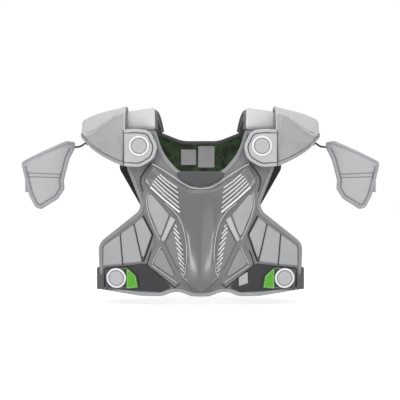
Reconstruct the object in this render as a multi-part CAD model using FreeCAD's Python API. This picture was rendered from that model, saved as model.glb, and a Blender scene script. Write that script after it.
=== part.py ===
"""Padded shoulder and chest protector for a stick sport, as a bench assembly of separate solids.

Units are millimetres.  +X is the viewer's right when facing the chest, +Y goes from the chest to
the back and +Z is up.  The origin is where the wearer's shoulders carry the two yokes: midway
between them, at the height of their undersides.

The chest and the back are each built up in layers on one doubly curved body surface, an arc
turned about an upright axis.  A layer is named by its distance from that surface, and a piece is
the part of a layer that lies inside an outline drawn in the frontal plane.  Everything on the
left is drawn once and mirrored.
"""
import FreeCAD, Part
import math
import os

V = FreeCAD.Vector

# ---------------------------------------------------------------- limits for drawing
SIDE_SHARE = 0.49     # share of a side that one rounded corner may take
SHARP = 0.05          # a smaller corner radius is left out
STRAIGHT = math.radians(89.5)
TOUCHING = 1e-6

# ---------------------------------------------------------------- fits between neighbours
SEAT = 0.3            # gap between two layers that lie on each other
SEAM = 0.8            # gap between two pieces side by side in one layer
REACH = 260.0         # more than half the object's depth, for blocks that outlines sweep
PAST = 20.0           # how far a cutting tool runs on past what it cuts

# ---------------------------------------------------------------- body surfaces
CHEST_TURN_AXIS = 350.0                                   # upright axis behind the chest, along Y
CHEST_TOP, CHEST_MID, CHEST_HEM = (-70.0, -38.0), (-105.0, -230.0), (-95.0, -386.0)   # (y, z)
BACK_TURN_AXIS = -350.0
BACK_TOP, BACK_MID, BACK_HEM = (70.0, -38.0), (97.0, -220.0), (90.0, -378.0)
TURN_SPAN = 84.0                                          # degrees of turn of every layer
LAYER_TOP, LAYER_BOTTOM = 40.0, -420.0                    # heights between which a layer is made

# ---------------------------------------------------------------- layer thicknesses
LINER = 1.8
FOAM = 10.0
PLATE = 3.0
WINDOW_PAD = 4.4
GUARD = 3.6
RIB_PAD = 6.0
LOOP_PILE = 1.2
TAB = 2.6
BADGE = 3.0
PATCH = 1.2
BINDING_WIDTH = 8.0
BINDING_LIP = 0.8      # how far a binding stands proud of the foam it wraps
STRAP = 2.4

# ---------------------------------------------------------------- keel of the sternum guard
# (z, half width, height over the guard's face) down the breastbone
KEEL = ((-180.0, 20.0, 0.5), (-235.0, 23.0, 4.0), (-285.0, 23.0, 9.0),
        (-330.0, 25.0, 15.0), (-352.0, 21.0, 12.0), (-368.0, 8.0, 2.0))
KEEL_SHOULDER = (0.62, 0.55)           # where its flank bends, as shares of half width and height

# ---------------------------------------------------------------- yokes over the shoulders
YOKE_RISE = 62.0       # from the level where the arch is upright to its underside at the top
YOKE_THICK = 10.0
YOKE_LINER = 6.0
YOKE_SLOPE_DROP = 6.0                  # how much lower the arm side lies than the neck side
YOKE_NECK_X = (-94.0, -97.0, -84.0)    # neck edge at the chest seam, the top and the back seam
YOKE_ARM_X = (-158.0, -160.0, -157.0)
SEAM_Z = CHEST_TOP[1]

# ---------------------------------------------------------------- shoulder caps
CAP_PIVOT = (-128.0, -71.0)            # (x, z) of the line through the front and rear badges
CAP_COVER = 4.0
CAP_FOAM = 4.0
CAP_FRONT_Y, CAP_REAR_Y = -104.0, 97.0
FLANGE_THICK = 7.0
# station x, crown (half width, z), ridge, knee, hem; the half widths are for the front side
CAP_STATIONS = (
    (-160.0, (36.0, 13.0), (80.0, -4.0), (104.0, -44.0), (104.0, -113.0)),
    (-200.0, (33.0, 1.0), (70.0, -20.0), (90.0, -58.0), (90.0, -95.0)),
    (-236.0, (22.0, -14.0), (46.0, -46.0), (58.0, -60.0), (58.0, -71.0)),
    (-254.0, (13.0, -27.0), (27.0, -38.0), (34.0, -46.0), (34.0, -54.0)),
)
CAP_RIM = 7.0
BADGE_RADIUS = 21.0
BADGE_RING = 4.0       # width of the raised ring round a badge's disc
BADGE_STEP = 0.8       # how far the disc lies below the ring
SWIVEL_RADIUS = 15.0   # foam spacer on which a flange turns

# ---------------------------------------------------------------- arm pads and their cords
ARM_AXIS = (-327.0, -6.0)              # (x, y) of the upper arm's centre line
ARM_PROFILE = ((64.0, -52.0), (66.0, -131.0), (57.0, -206.0))   # outer (radius, z)
ARM_COVER = 5.0
ARM_FOAM = 5.0
ARM_RIM = 7.0
ARM_STRAP_Z = (-168.0, -122.0)
ARM_STRAP_RADIUS = 43.0                # outer radius of the relaxed elastic loop
ARM_STRAP_TURN = 48.0                  # degrees from the front to the side, where the loop lies on the lining
CORD_RADIUS = 2.0
CORD_Y = -20.0
# the cord's route in the plane y = CORD_Y, as (x, z): the knot in the cap, then out and down
CORD_ROUTE = ((-235.5, -60.3), (-246.0, -62.3), (-256.0, -70.3), (-266.0, -71.8), (-276.0, -71.3))
CORD_SWING = (-243.0, -61.8)           # (x, z) where the cord turns in the cap's anchor tab
KNOT_RADIUS = 4.5
ANCHOR_PLATE = 2.4
ANCHOR_WIDTH = 16.0
ANCHOR_BELOW = 8.0                     # how far the tab reaches below its hole's centre
CORD_HOLE = 4.5

# ---------------------------------------------------------------- belt straps and their tabs
STRAP_Z = (-373.0, -329.0)
TAB_HINGE_X = -203.0
STRAP_BULGE = ((-220.0, -6.0), (-196.0, 44.0))   # (x, y) of the free stretch's two corners
STRAP_LAP_X = (-221.0, -116.0)         # outer face of the wing lap, inner end of the back lap
STRAP_LAP = 30.0                       # length that is sewn on the back
STRAP_BEND = 60.0                      # radius of the free stretch's corners


# ---------------------------------------------------------------- spine guard and labels
SPINE_HALF, SPINE_WAIST = 24.0, 20.0   # half widths at the middle and at the ends of a segment
SPINE_Z = (-74.0, -352.0)
SPINE_SEGMENTS = 5
LABEL_THICK = 0.6
LABEL_CORNER = 2.0

# ---------------------------------------------------------------- outlines, left half or left piece: (x, z, corner radius)
PANEL = [
    (0.0, -129.0, 0), (-42.0, -128.0, 45), (-79.0, -86.0, 110), (-94.0, SEAM_Z - SEAM, 1),
    (-158.0, SEAM_Z - SEAM, 1), (-157.0, -112.0, 70), (-121.0, -201.0, 24),
    (-216.0, -276.0, 30), (-213.0, -374.0, 5), (-126.0, -385.0, 80), (-80.0, -385.0, 40),
    (-50.0, -373.0, 40), (-18.0, -385.0, 60), (0.0, -385.0, 0)]
PLATE_EDGE = [
    (0.0, -160.0, 0), (-22.0, -160.0, 70), (-72.0, -134.0, 80), (-101.0, -105.0, 9),
    (-126.0, -141.0, 22), (-118.0, -206.0, 90), (-98.0, -253.0, 25), (-92.0, -281.0, 8),
    (-101.0, -290.0, 3), (-111.0, -318.0, 8), (-53.0, -365.0, 3), (-42.0, -356.0, 3),
    (-20.0, -372.0, 30), (0.0, -376.0, 0)]
GUARD_EDGE = [
    (0.0, -162.0, 0), (-22.0, -162.0, 70), (-73.0, -136.0, 80), (-101.0, -109.0, 8),
    (-122.0, -141.0, 20), (-106.0, -160.0, 12), (-50.0, -209.0, 45), (-30.0, -256.0, 90),
    (-28.0, -322.0, 60), (-37.0, -346.0, 4), (-18.0, -364.0, 14), (0.0, -373.0, 0)]
WINDOW = [(-108.0, -164.0, 5), (-111.0, -196.0, 70), (-83.0, -264.0, 4), (-65.0, -214.0, 6)]
LOWER_WINDOW = [(-81.5, -281.0, 4), (-98.5, -316.0, 5), (-49.0, -350.0, 4)]
INNER_WINDOW = [(-50.0, -228.0, 5), (-74.0, -272.0, 5), (-42.0, -338.0, 5), (-37.0, -300.0, 40)]
CROSS_BAR = [(-62.0, -217.0, 2), (-52.0, -224.0, 2), (-75.5, -270.0, 2), (-81.5, -266.0, 2)]
RIB_PADS = (
    [(-205.0, -323.0, 3), (-204.0, -281.0, 12), (-168.8, -256.2, 3), (-163.8, -319.0, 3)],
    [(-167.0, -254.8, 3), (-139.6, -235.4, 3), (-122.0, -312.6, 3), (-162.0, -318.0, 3)],
    [(-137.8, -234.0, 3), (-121.0, -219.0, 4), (-101.5, -256.0, 4), (-120.4, -310.0, 3)],
)
LANDING = [
    (TAB_HINGE_X, -327.0, 2), (-116.0, -316.0, 2), (-60.0, -366.0, 4), (-84.0, -376.0, 10),
    (TAB_HINGE_X, -371.0, 3)]
COLLAR_PAD = [
    (0.0, -124.0, 0), (-52.0, -124.0, 6), (-44.0, -140.0, 20),
                                 (-20.0, -153.0, 30), (0.0, -155.0, 0)]
STRAP_TAB = [
    (TAB_HINGE_X + 1.0, -329.0, 2), (-156.0, -323.0, 6), (-133.0, -341.0, 8),
    (-128.0, -370.0, 2), (TAB_HINGE_X + 3.0, -374.0, 2)]
TAB_BADGE_AT = (-177.0, -348.0)
TAB_PATCH_X = TAB_BADGE_AT[0] + BADGE_RADIUS + SEAM      # side next to the badge
TAB_PATCH = [
    (TAB_PATCH_X, -326.0, 2), (-151.0, -328.0, 6), (-135.0, -343.0, 8),
    (-131.0, -367.0, 2), (TAB_PATCH_X, -370.0, 2)]

BACK_PANEL = [
    (0.0, -56.0, 0), (-40.0, -56.0, 70), (-84.0, SEAM_Z - SEAM, 10), (-157.0, SEAM_Z - SEAM, 1),
    (-171.0, -118.0, 25), (-118.0, -208.0, 60), (-128.0, -300.0, 90), (-128.0, -377.0, 20),
    (0.0, -377.0, 0)]
BLADE_PAD = [
    (-38.0, -84.0, 10), (-74.0, -62.0, 14), (-142.0, -60.0, 12), (-152.0, -114.0, 22),
    (-106.0, -188.0, 20), (-38.0, -196.0, 10)]
KIDNEY_PAD = [
    (-38.0, -208.0, 10), (-98.0, -204.0, 16), (-114.0, -300.0, 40),
    (-112.0, -358.0, 12), (-38.0, -358.0, 10)]
LABELS = ((-43.0, -75.0, 33.0, 34.0), (-5.0, -67.5, 36.0, 47.0))   # left x, top z, width, height
HEM_TAG = [(80.0, -345.0, 1), (98.0, -333.0, 1), (99.0, -357.0, 1), (80.0, -363.0, 1)]
ARM_EDGE = [
    (-266.5, -61.0, 4), (-282.0, -59.0, 8), (-382.0, -104.0, 10), (-363.0, -176.0, 12),
    (-350.0, -200.0, 10), (-337.0, -204.0, 8), (-300.0, -182.0, 20), (-287.0, -161.0, 10),
    (-288.0, -143.0, 6), (-277.0, -98.0, 30), (-267.5, -76.0, 10)]
CAP_FRONT_VIEW = [
    (-164.0, 30.0, 0), (-160.0, 30.0, 0), (-160.0, -114.0, 0), (-166.0, -112.0, 30),
    (-222.0, -84.0, 60), (-250.0, -56.0, 16), (-262.0, -40.0, 5), (-262.0, 30.0, 0)]
FLANGE = [
    (-160.0, -37.0, 1), (-136.0, -35.5, 30), (-106.0, -38.0, 22), (-89.5, -72.0, 26),
    (-94.0, -101.0, 26), (-124.0, -117.0, 34), (-160.0, -114.0, 1)]


# ================================================================= drawing helpers
def filleted(at, radii, closed):
    """Lines and arcs through the points of a path, whose corners have the given radii.

    A radius is limited by the lengths of the corner's two sides.
    """
    count = len(at)
    starts, middles, ends = [], [], []
    for i in range(count):
        here, before, after = at[i], at[i - 1], at[(i + 1) % count]
        to_before, to_after = before - here, after - here
        reach = SIDE_SHARE * min(to_before.Length, to_after.Length)
        to_before.normalize()
        to_after.normalize()
        half = to_before.getAngle(to_after) / 2.0
        radius = min(radii[i], reach * math.tan(half))
        is_end = not closed and i in (0, count - 1)
        if is_end or radius < SHARP or half > STRAIGHT:
            starts.append(here)
            middles.append(None)
            ends.append(here)
            continue
        inward = to_before + to_after
        inward.normalize()
        starts.append(here + to_before * (radius / math.tan(half)))
        middles.append(here + inward * (radius / math.sin(half) - radius))
        ends.append(here + to_after * (radius / math.tan(half)))
    edges = []
    for i in range(count):
        if middles[i] is not None:
            edges.append(Part.Arc(starts[i], middles[i], ends[i]).toShape())
        following = starts[(i + 1) % count]
        last_side = not closed and i == count - 1
        if not last_side and (following - ends[i]).Length > TOUCHING:
            edges.append(Part.makeLine(ends[i], following))
    return edges


def rounded(corners):
    """Closed wire in the XZ plane from (x, z, corner radius)."""
    return Part.Wire(filleted([V(x, 0, z) for x, z, _ in corners], [r for _, _, r in corners], True))


def both_sides(left_half):
    """Closed wire of a whole outline from its left half, listed from the top centre to the bottom centre."""
    right_half = [(-x, z, r) for x, z, r in reversed(left_half) if x < 0]
    return rounded(left_half + right_half)


def grown(wire, distance):
    """The outline moved outwards by distance, or inwards when it is negative."""
    return wire.makeOffset2D(distance, 2)


def prism(wire, side):
    """Block that an outline sweeps through the chest (side -1) or the back (side 1)."""
    moved = wire.copy()
    if side < 0:
        moved.translate(V(0, -REACH, 0))
    return Part.Face(moved).extrude(V(0, REACH, 0))


def both_ways(wire):
    """Block that an outline sweeps through the whole object from chest to back."""
    return prism(wire, -1).fuse(prism(wire, 1)).removeSplitter()


def circle(x, z, radius):
    """Closed round outline in the XZ plane."""
    return Part.Wire([Part.makeCircle(radius, V(x, 0, z), V(0, 1, 0))])


def arc_centre(p, q, r):
    """Centre and radius of the circle through three (y, z) points."""
    (ay, az), (by, bz), (cy, cz) = p, q, r
    d = 2 * (ay * (bz - cz) + by * (cz - az) + cy * (az - bz))
    a2, b2, c2 = ay * ay + az * az, by * by + bz * bz, cy * cy + cz * cz
    y = (a2 * (bz - cz) + b2 * (cz - az) + c2 * (az - bz)) / d
    z = (a2 * (cy - by) + b2 * (ay - cy) + c2 * (by - ay)) / d
    return y, z, math.hypot(ay - y, az - z)


CHEST = (-1, CHEST_TURN_AXIS) + arc_centre(CHEST_TOP, CHEST_MID, CHEST_HEM)
BACK = (1, BACK_TURN_AXIS) + arc_centre(BACK_TOP, BACK_MID, BACK_HEM)


def surface_y(body, x, z, depth):
    """Y of the surface that lies depth outside a body surface, at a place in the frontal plane."""
    side, axis, cy, cz, radius = body
    centre_y = cy + side * math.sqrt((radius + depth) ** 2 - (z - cz) ** 2)
    turn = abs(centre_y - axis)
    return axis + side * math.sqrt(turn * turn - x * x)


def layer(body, inner, outer):
    """Whole curved layer between two distances from a body surface."""
    side, axis, cy, cz, radius = body
    top, bottom = LAYER_TOP, LAYER_BOTTOM

    def at(r, z):
        return V(0, cy + side * math.sqrt(r * r - (z - cz) ** 2), z)

    def bow(r):
        return Part.Arc(at(r, top), at(r, (top + bottom) / 2), at(r, bottom)).toShape()

    near, far = radius + inner, radius + outer
    edges = [bow(near), Part.makeLine(at(near, bottom), at(far, bottom)),
             bow(far), Part.makeLine(at(far, top), at(near, top))]
    profile = Part.Face(Part.Wire(Part.__sortEdges__(edges)))
    profile.rotate(V(0, axis, 0), V(0, 0, 1), -TURN_SPAN / 2)
    return profile.revolve(V(0, axis, 0), V(0, 0, 1), TURN_SPAN)


_layers = {}


def piece(body, inner, outer, wire):
    """The part of a layer inside an outline."""
    key = (body[0], inner, outer)
    if key not in _layers:
        _layers[key] = layer(body, inner, outer)
    return _layers[key].common(prism(wire, body[0])).removeSplitter()


def mirrored(shape):
    """The same piece on the right."""
    return shape.mirror(V(0, 0, 0), V(1, 0, 0))


# ================================================================= chest
def chest():
    """Layers of the chest, as node name to shape."""
    made = {}
    panel, plate_edge, collar = both_sides(PANEL), both_sides(PLATE_EDGE), both_sides(COLLAR_PAD)
    guard_edge = both_sides(GUARD_EDGE)
    core = grown(panel, -BINDING_WIDTH)
    core_block = prism(core, -1)
    edge = prism(panel, -1).cut(prism(grown(core, SEAM), -1))
    made["chest_foam_panel"] = piece(CHEST, 0, FOAM, core)
    made["chest_binding"] = layer(CHEST, -BINDING_LIP, FOAM + BINDING_LIP).common(edge)
    made["chest_liner"] = piece(CHEST, -SEAT - LINER, -SEAT, core)

    on_foam = FOAM + SEAT
    made["collar_pad"] = piece(CHEST, on_foam, on_foam + PLATE, collar).common(core_block)
    plate = piece(CHEST, on_foam, on_foam + PLATE, plate_edge).common(core_block)
    plate = plate.cut(prism(grown(collar, SEAM), -1))
    windows = [rounded(corners) for corners in (WINDOW, LOWER_WINDOW, INNER_WINDOW)]
    window_rooms = [prism(grown(wire, SEAM), -1) for wire in windows]
    for room in window_rooms:
        plate = plate.cut(room).cut(mirrored(room))
    made["chest_plate"] = plate
    window_pads = [piece(CHEST, on_foam, on_foam + WINDOW_PAD, wire) for wire in windows]
    pair(made, "chest_pads", Part.makeCompound(window_pads))

    on_plate = on_foam + PLATE + SEAT
    made["sternum_guard"] = sternum_guard(guard_edge, on_plate)
    bar = piece(CHEST, on_plate, on_plate + PLATE, rounded(CROSS_BAR))
    bar_rooms = (prism(grown(guard_edge, SEAM), -1), window_rooms[0], window_rooms[2])
    for room in bar_rooms:
        bar = bar.cut(room)
    pair(made, "cross_bar", bar)

    plate_room = prism(grown(plate_edge, SEAM), -1)
    ribs = [piece(CHEST, on_foam, on_foam + RIB_PAD, rounded(corners)).cut(plate_room) for corners in RIB_PADS]
    pair(made, "rib_pads", Part.makeCompound(ribs))
    landing = piece(CHEST, on_foam, on_foam + LOOP_PILE, rounded(LANDING)).cut(plate_room)
    pair(made, "loop_landing", landing.common(core_block))

    on_landing = on_foam + LOOP_PILE + SEAT
    on_tab = on_landing + TAB + SEAT
    pair(made, "strap_tab", piece(CHEST, on_landing, on_landing + TAB, rounded(STRAP_TAB)).cut(plate_room))
    pair(made, "tab_patch", piece(CHEST, on_tab, on_tab + PATCH, rounded(TAB_PATCH)))
    pair(made, "tab_badge", tab_badge(on_tab))
    tag = piece(CHEST, on_landing, on_landing + LABEL_THICK, rounded(HEM_TAG))
    made["fabric_labels"] = tag.cut(plate_room)
    return made


def tab_badge(seat):
    """Ring and sunken disc of the badge that lies on a strap tab."""
    x, z = TAB_BADGE_AT
    body = piece(CHEST, seat, seat + BADGE, circle(x, z, BADGE_RADIUS))
    well = piece(CHEST, seat + BADGE - BADGE_STEP, seat + 2 * BADGE, circle(x, z, BADGE_RADIUS - BADGE_RING))
    return body.cut(well)


def sternum_guard(outline, seat):
    """Moulded Y-shaped guard: arms along the neck, and a keel that swells into a blunt nose."""
    skin = piece(CHEST, seat, seat + GUARD, outline)
    wires = []
    for z, half, height in KEEL:
        root = surface_y(CHEST, 0, z, seat + GUARD / 2)
        face = surface_y(CHEST, 0, z, seat + GUARD)
        shoulder_x, shoulder_y = KEEL_SHOULDER[0] * half, face - KEEL_SHOULDER[1] * height
        points = [V(-half, root, z), V(-shoulder_x, shoulder_y, z), V(0, face - height, z),
                  V(shoulder_x, shoulder_y, z), V(half, root, z)]
        bow = Part.BSplineCurve()
        bow.interpolate(points)
        wires.append(Part.Wire([bow.toShape(), Part.makeLine(points[-1], points[0])]))
    keel = Part.makeLoft(wires, True, False)
    keel = keel.cut(layer(CHEST, -REACH / 10, seat))
    return skin.fuse(keel).removeSplitter()


# ================================================================= back
def back():
    """Layers of the back, as node name to shape."""
    made = {}
    panel = both_sides(BACK_PANEL)
    core = grown(panel, -BINDING_WIDTH)
    edge = prism(panel, 1).cut(prism(grown(core, SEAM), 1))
    made["back_foam_panel"] = piece(BACK, 0, FOAM, core)
    made["back_binding"] = layer(BACK, -BINDING_LIP, FOAM + BINDING_LIP).common(edge)
    made["back_liner"] = piece(BACK, -SEAT - LINER, -SEAT, core)
    on_foam = FOAM + SEAT
    made["spine_guard"] = Part.makeCompound(spine_segments(on_foam))
    pair(made, "blade_pad", piece(BACK, on_foam, on_foam + RIB_PAD, rounded(BLADE_PAD)))
    pair(made, "kidney_pad", piece(BACK, on_foam, on_foam + RIB_PAD, rounded(KIDNEY_PAD)))
    under_liner = -2 * SEAT - LINER
    labels = []
    for x, z, width, height in LABELS:
        corners = [(x, z), (x + width, z), (x + width, z - height), (x, z - height)]
        wire = rounded([(cx, cz, LABEL_CORNER) for cx, cz in corners])
        labels.append(piece(BACK, under_liner - LABEL_THICK, under_liner, wire))
    made["neck_labels"] = Part.makeCompound(labels)
    return made


def spine_segments(seat):
    """Six-sided segments in a row down the spine."""
    top, bottom = SPINE_Z
    length = (top - bottom) / SPINE_SEGMENTS
    segments = []
    for i in range(SPINE_SEGMENTS):
        high = top - i * length
        low = high - length + SEAM
        middle = (high + low) / 2
        wire = rounded([(-SPINE_WAIST, high, 4), (SPINE_WAIST, high, 4), (SPINE_HALF, middle, 3),
                        (SPINE_WAIST, low, 4), (-SPINE_WAIST, low, 4), (-SPINE_HALF, middle, 3)])
        segments.append(piece(BACK, seat, seat + RIB_PAD + PLATE, wire))
    return segments


def swivel_pads():
    """Foam spacers on the chest and the back, on which one cap's flanges turn."""
    x, z = CAP_PIVOT
    front_face = CAP_FRONT_Y + FLANGE_THICK + SEAT
    rear_face = CAP_REAR_Y - FLANGE_THICK - SEAT
    front_depth = surface_y(CHEST, x, z, 0) - front_face
    rear_depth = rear_face - surface_y(BACK, x, z, 0)
    front = Part.makeCylinder(SWIVEL_RADIUS, front_depth, V(x, front_face, z), V(0, 1, 0))
    rear = Part.makeCylinder(SWIVEL_RADIUS, rear_depth, V(x, rear_face, z), V(0, -1, 0))
    front = front.cut(layer(CHEST, -FOAM, FOAM + SEAT))
    rear = rear.cut(layer(BACK, -FOAM, FOAM + RIB_PAD + 2 * SEAT))
    return Part.makeCompound([front, rear])


# ================================================================= belt straps
def elastic_strap():
    """Belt from a lap on the wing, round the side of the body, to a lap on the back."""
    low, high = STRAP_Z
    middle = (low + high) / 2
    seat = FOAM + BINDING_LIP + SEAT
    wing_end, back_end = STRAP_LAP_X
    back_start = back_end - STRAP_LAP
    bends = [(x, y, STRAP_BEND) for x, y in STRAP_BULGE]
    wing_y = surface_y(CHEST, wing_end + STRAP, middle, seat + STRAP / 2)
    route = [(wing_end + STRAP / 2, wing_y, 0)] + bends
    for x, radius in ((back_start, STRAP_BEND), (back_start + STRAP_LAP / 3, 0)):
        route.append((x, surface_y(BACK, x, middle, seat + STRAP / 2), radius))
    path = Part.Wire(filleted([V(x, y, low) for x, y, _ in route], [r for _, _, r in route], False))
    band = path.makeOffset2D(STRAP / 2, 0, True, True).extrude(V(0, 0, high - low))
    wing_lap = piece(CHEST, seat, seat + STRAP, upright(wing_end, TAB_HINGE_X - SEAM, low, high))
    back_lap = piece(BACK, seat, seat + STRAP, upright(back_start, back_end, low, high))
    return wing_lap.fuse(band).fuse(back_lap).removeSplitter()


def upright(left, right, low, high):
    """Closed rectangle in the XZ plane."""
    return rounded([(left, high, 0), (right, high, 0), (right, low, 0), (left, low, 0)])


# ================================================================= yokes
def yoke(inner, outer):
    """Arch over one shoulder between two distances from the wearer, seam to seam."""
    seam_turn = math.acos(1 + SEAM_Z / YOKE_RISE)
    sections = []
    for step in range(-4, 5):
        turn = seam_turn * step / 4.0
        side = CHEST if step < 0 else BACK
        share = abs(step) / 4.0
        corners = []
        for edges in (YOKE_NECK_X, YOKE_ARM_X):
            seam_x = edges[0] if step < 0 else edges[2]
            x = edges[1] + (seam_x - edges[1]) * share
            deep = abs(surface_y(side, seam_x, SEAM_Z, 0)) / math.sin(seam_turn)
            drop = YOKE_SLOPE_DROP * (1 - share) if edges is YOKE_ARM_X else 0.0
            corners.append((x, deep * math.sin(turn), YOKE_RISE * (math.cos(turn) - 1) - drop))
        normal = V(0, math.sin(turn), math.cos(turn))
        (ax, ay, az), (bx, by, bz) = corners
        low = [V(ax, ay, az) + normal * inner, V(bx, by, bz) + normal * inner]
        high = [V(bx, by, bz) + normal * outer, V(ax, ay, az) + normal * outer]
        sections.append(Part.makePolygon(low + high + low[:1]))
    return Part.makeLoft(sections, True, False)


# ================================================================= shoulder cap
def cap_body(inset, hem_drop):
    """Solid under the cap's outside, taken in by inset, with its hem lowered by hem_drop."""
    wires = []
    first, last = CAP_STATIONS[0][0], CAP_STATIONS[-1][0]
    for x, crown, ridge, knee, hem in CAP_STATIONS:
        at_x = x + inset if x == last else x
        if x == first and hem_drop > 0:
            at_x = x + SEAM
        front = [(crown[0], crown[1] - inset), (ridge[0] - 0.7 * inset, ridge[1] - 0.7 * inset),
                 (knee[0] - inset, knee[1] - 0.2 * inset), (hem[0] - inset, hem[1] - hem_drop)]
        rear_share = CAP_REAR_Y / abs(CAP_FRONT_Y)
        points = [V(at_x, -y, z) for y, z in reversed(front)]
        points += [V(at_x, y * rear_share, z) for y, z in front]
        wires.append(Part.makePolygon(points + points[:1]))
    return Part.makeLoft(wires, True, False)


def flange(front):
    """Flat front or rear flange of the cap."""
    plate = Part.Face(rounded(FLANGE)).extrude(V(0, FLANGE_THICK, 0))
    plate.translate(V(0, CAP_FRONT_Y if front else CAP_REAR_Y - FLANGE_THICK, 0))
    return plate


def badge(x, z, body_face, depth):
    """Ring and sunken disc of a round badge that stands off a flat face towards the front."""
    outer = Part.makeCylinder(BADGE_RADIUS, depth, V(x, body_face, z), V(0, -1, 0))
    well = Part.makeCylinder(BADGE_RADIUS - BADGE_RING, BADGE_STEP, V(x, body_face - depth, z), V(0, 1, 0))
    return outer.cut(well)


def cap():
    """One shoulder cap with its flanges, bindings, badge and cord anchor."""
    made = {}
    inside = CAP_COVER + SEAT + CAP_FOAM
    outline = rounded(CAP_FRONT_VIEW)
    rim_line = grown(outline, -CAP_RIM)
    cover = cap_body(0, 0).cut(cap_body(CAP_COVER, PAST))
    foam = cap_body(CAP_COVER + SEAT, 0).cut(cap_body(inside, PAST))
    whole, core = both_ways(outline), both_ways(rim_line)
    wide_core = both_ways(grown(rim_line, SEAM))
    made["cap_cover"] = cover.common(core)
    made["cap_binding"] = cap_body(-BINDING_LIP, 0).cut(cap_body(inside, PAST)).common(whole).cut(wide_core)
    made["cap_foam"] = foam.common(core)
    for name, front in (("front", True), ("rear", False)):
        made[name + "_flange"] = flange(front)
    face = CAP_FRONT_Y - SEAT
    made["flange_badge"] = badge(CAP_PIVOT[0], CAP_PIVOT[1], face, BADGE)
    made["cord_anchor"] = cord_anchor()
    return made


def cord_anchor():
    """Webbing tab under the cap's tip with a hole that the elastic cord runs through."""
    x, z = CORD_SWING
    width, low = ANCHOR_WIDTH, z - ANCHOR_BELOW
    block = Part.makeBox(ANCHOR_PLATE, width, -low, V(x - ANCHOR_PLATE / 2, CORD_Y - width / 2, low))
    block = block.common(cap_body(CAP_COVER + CAP_FOAM + 2 * SEAT, PAST))
    return block.cut(Part.makeCylinder(CORD_HOLE, 2 * PAST, V(x - PAST, CORD_Y, z), V(1, 0, 0)))


# ================================================================= arm pad
def arm_radius(depth, z):
    """Distance from the arm's centre line to a depth inside the pad's outer face."""
    centre, cz, radius = arc_centre(*ARM_PROFILE)
    return centre + math.sqrt((radius - depth) ** 2 - (z - cz) ** 2)


def arm_shell(inner, outer, low, high):
    """Barrel round the arm between two depths inside the pad's outer face."""
    def at(depth, z):
        return V(arm_radius(depth, z), 0, z)

    edges = []
    for depth in (inner, outer):
        edges.append(Part.Arc(at(depth, low), at(depth, (low + high) / 2), at(depth, high)).toShape())
    edges.append(Part.makeLine(at(inner, low), at(outer, low)))
    edges.append(Part.makeLine(at(inner, high), at(outer, high)))
    profile = Part.Face(Part.Wire(Part.__sortEdges__(edges)))
    barrel = profile.revolve(V(0, 0, 0), V(0, 0, 1), 360)
    barrel.translate(V(ARM_AXIS[0], ARM_AXIS[1], 0))
    return barrel


def arm_pad():
    """Cover, foam, strap and cord of one arm pad."""
    high, low = ARM_PROFILE[0][1] + PAST / 2, ARM_PROFILE[2][1] - PAST / 2
    under = ARM_COVER + SEAT
    edge = rounded(ARM_EDGE)
    (entry_x, entry_z), (knot_x, knot_z) = CORD_ROUTE[-2], CORD_ROUTE[-1]
    hole = Part.makeCylinder(CORD_HOLE, 2 * PAST, V(entry_x - PAST / 2, CORD_Y, entry_z), V(1, 0, 0))
    pocket = Part.makeCylinder(KNOT_RADIUS + SEAT, PAST, V(knot_x - PAST / 2, CORD_Y, knot_z), V(1, 0, 0))
    cover = arm_shell(ARM_COVER, 0, low, high).common(prism(edge, -1))
    foam = arm_shell(under + ARM_FOAM, under, low, high).common(prism(grown(edge, -ARM_RIM), -1))
    return {
        "arm_cover": cover.cut(hole),
        "arm_foam": foam.cut(pocket),
        "arm_strap": arm_strap(under + ARM_FOAM + SEAT),
        "elastic_cord": elastic_cord(),
    }


def arm_strap(depth):
    """Elastic loop that hangs behind the pad and touches its lining along one line."""
    low, high = ARM_STRAP_Z
    reach = min(arm_radius(depth, low), arm_radius(depth, high)) - ARM_STRAP_RADIUS
    turn = math.radians(ARM_STRAP_TURN)
    foot = V(ARM_AXIS[0] - reach * math.sin(turn), ARM_AXIS[1] - reach * math.cos(turn), low)
    loop = Part.makeCylinder(ARM_STRAP_RADIUS, high - low, foot)
    return loop.cut(Part.makeCylinder(ARM_STRAP_RADIUS - STRAP, high - low, foot))


def elastic_cord():
    """Shock cord from the cap to the arm pad, with a stopper knot at each end."""
    at = [V(x, CORD_Y, z) for x, z in CORD_ROUTE]
    edges = filleted(at, [math.inf] * len(at), False)
    solids = [cord_stretch(edge) for edge in edges]
    solids += [Part.makeSphere(KNOT_RADIUS, end) for end in (at[0], at[-1])]
    print("cord length %.1f" % sum(edge.Length for edge in edges))
    return solids[0].multiFuse(solids[1:]).removeSplitter()


def cord_stretch(edge):
    """Straight or evenly bent stretch of the cord along an edge of its centreline."""
    start, ahead = edge.valueAt(edge.FirstParameter), edge.tangentAt(edge.FirstParameter)
    section = Part.Face(Part.Wire([Part.makeCircle(CORD_RADIUS, start, ahead)]))
    if isinstance(edge.Curve, Part.Line):
        return section.extrude(ahead * edge.Length)
    centre = edge.Curve.Center
    turn_axis = (start - centre).cross(ahead)
    return section.revolve(centre, turn_axis, math.degrees(edge.Length / edge.Curve.Radius))


# ================================================================= assembly
def pair(made, name, left):
    """Adds a piece and its mirror image as left_ and right_ nodes."""
    made["left_" + name] = left
    made["right_" + name] = mirrored(left)


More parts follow.
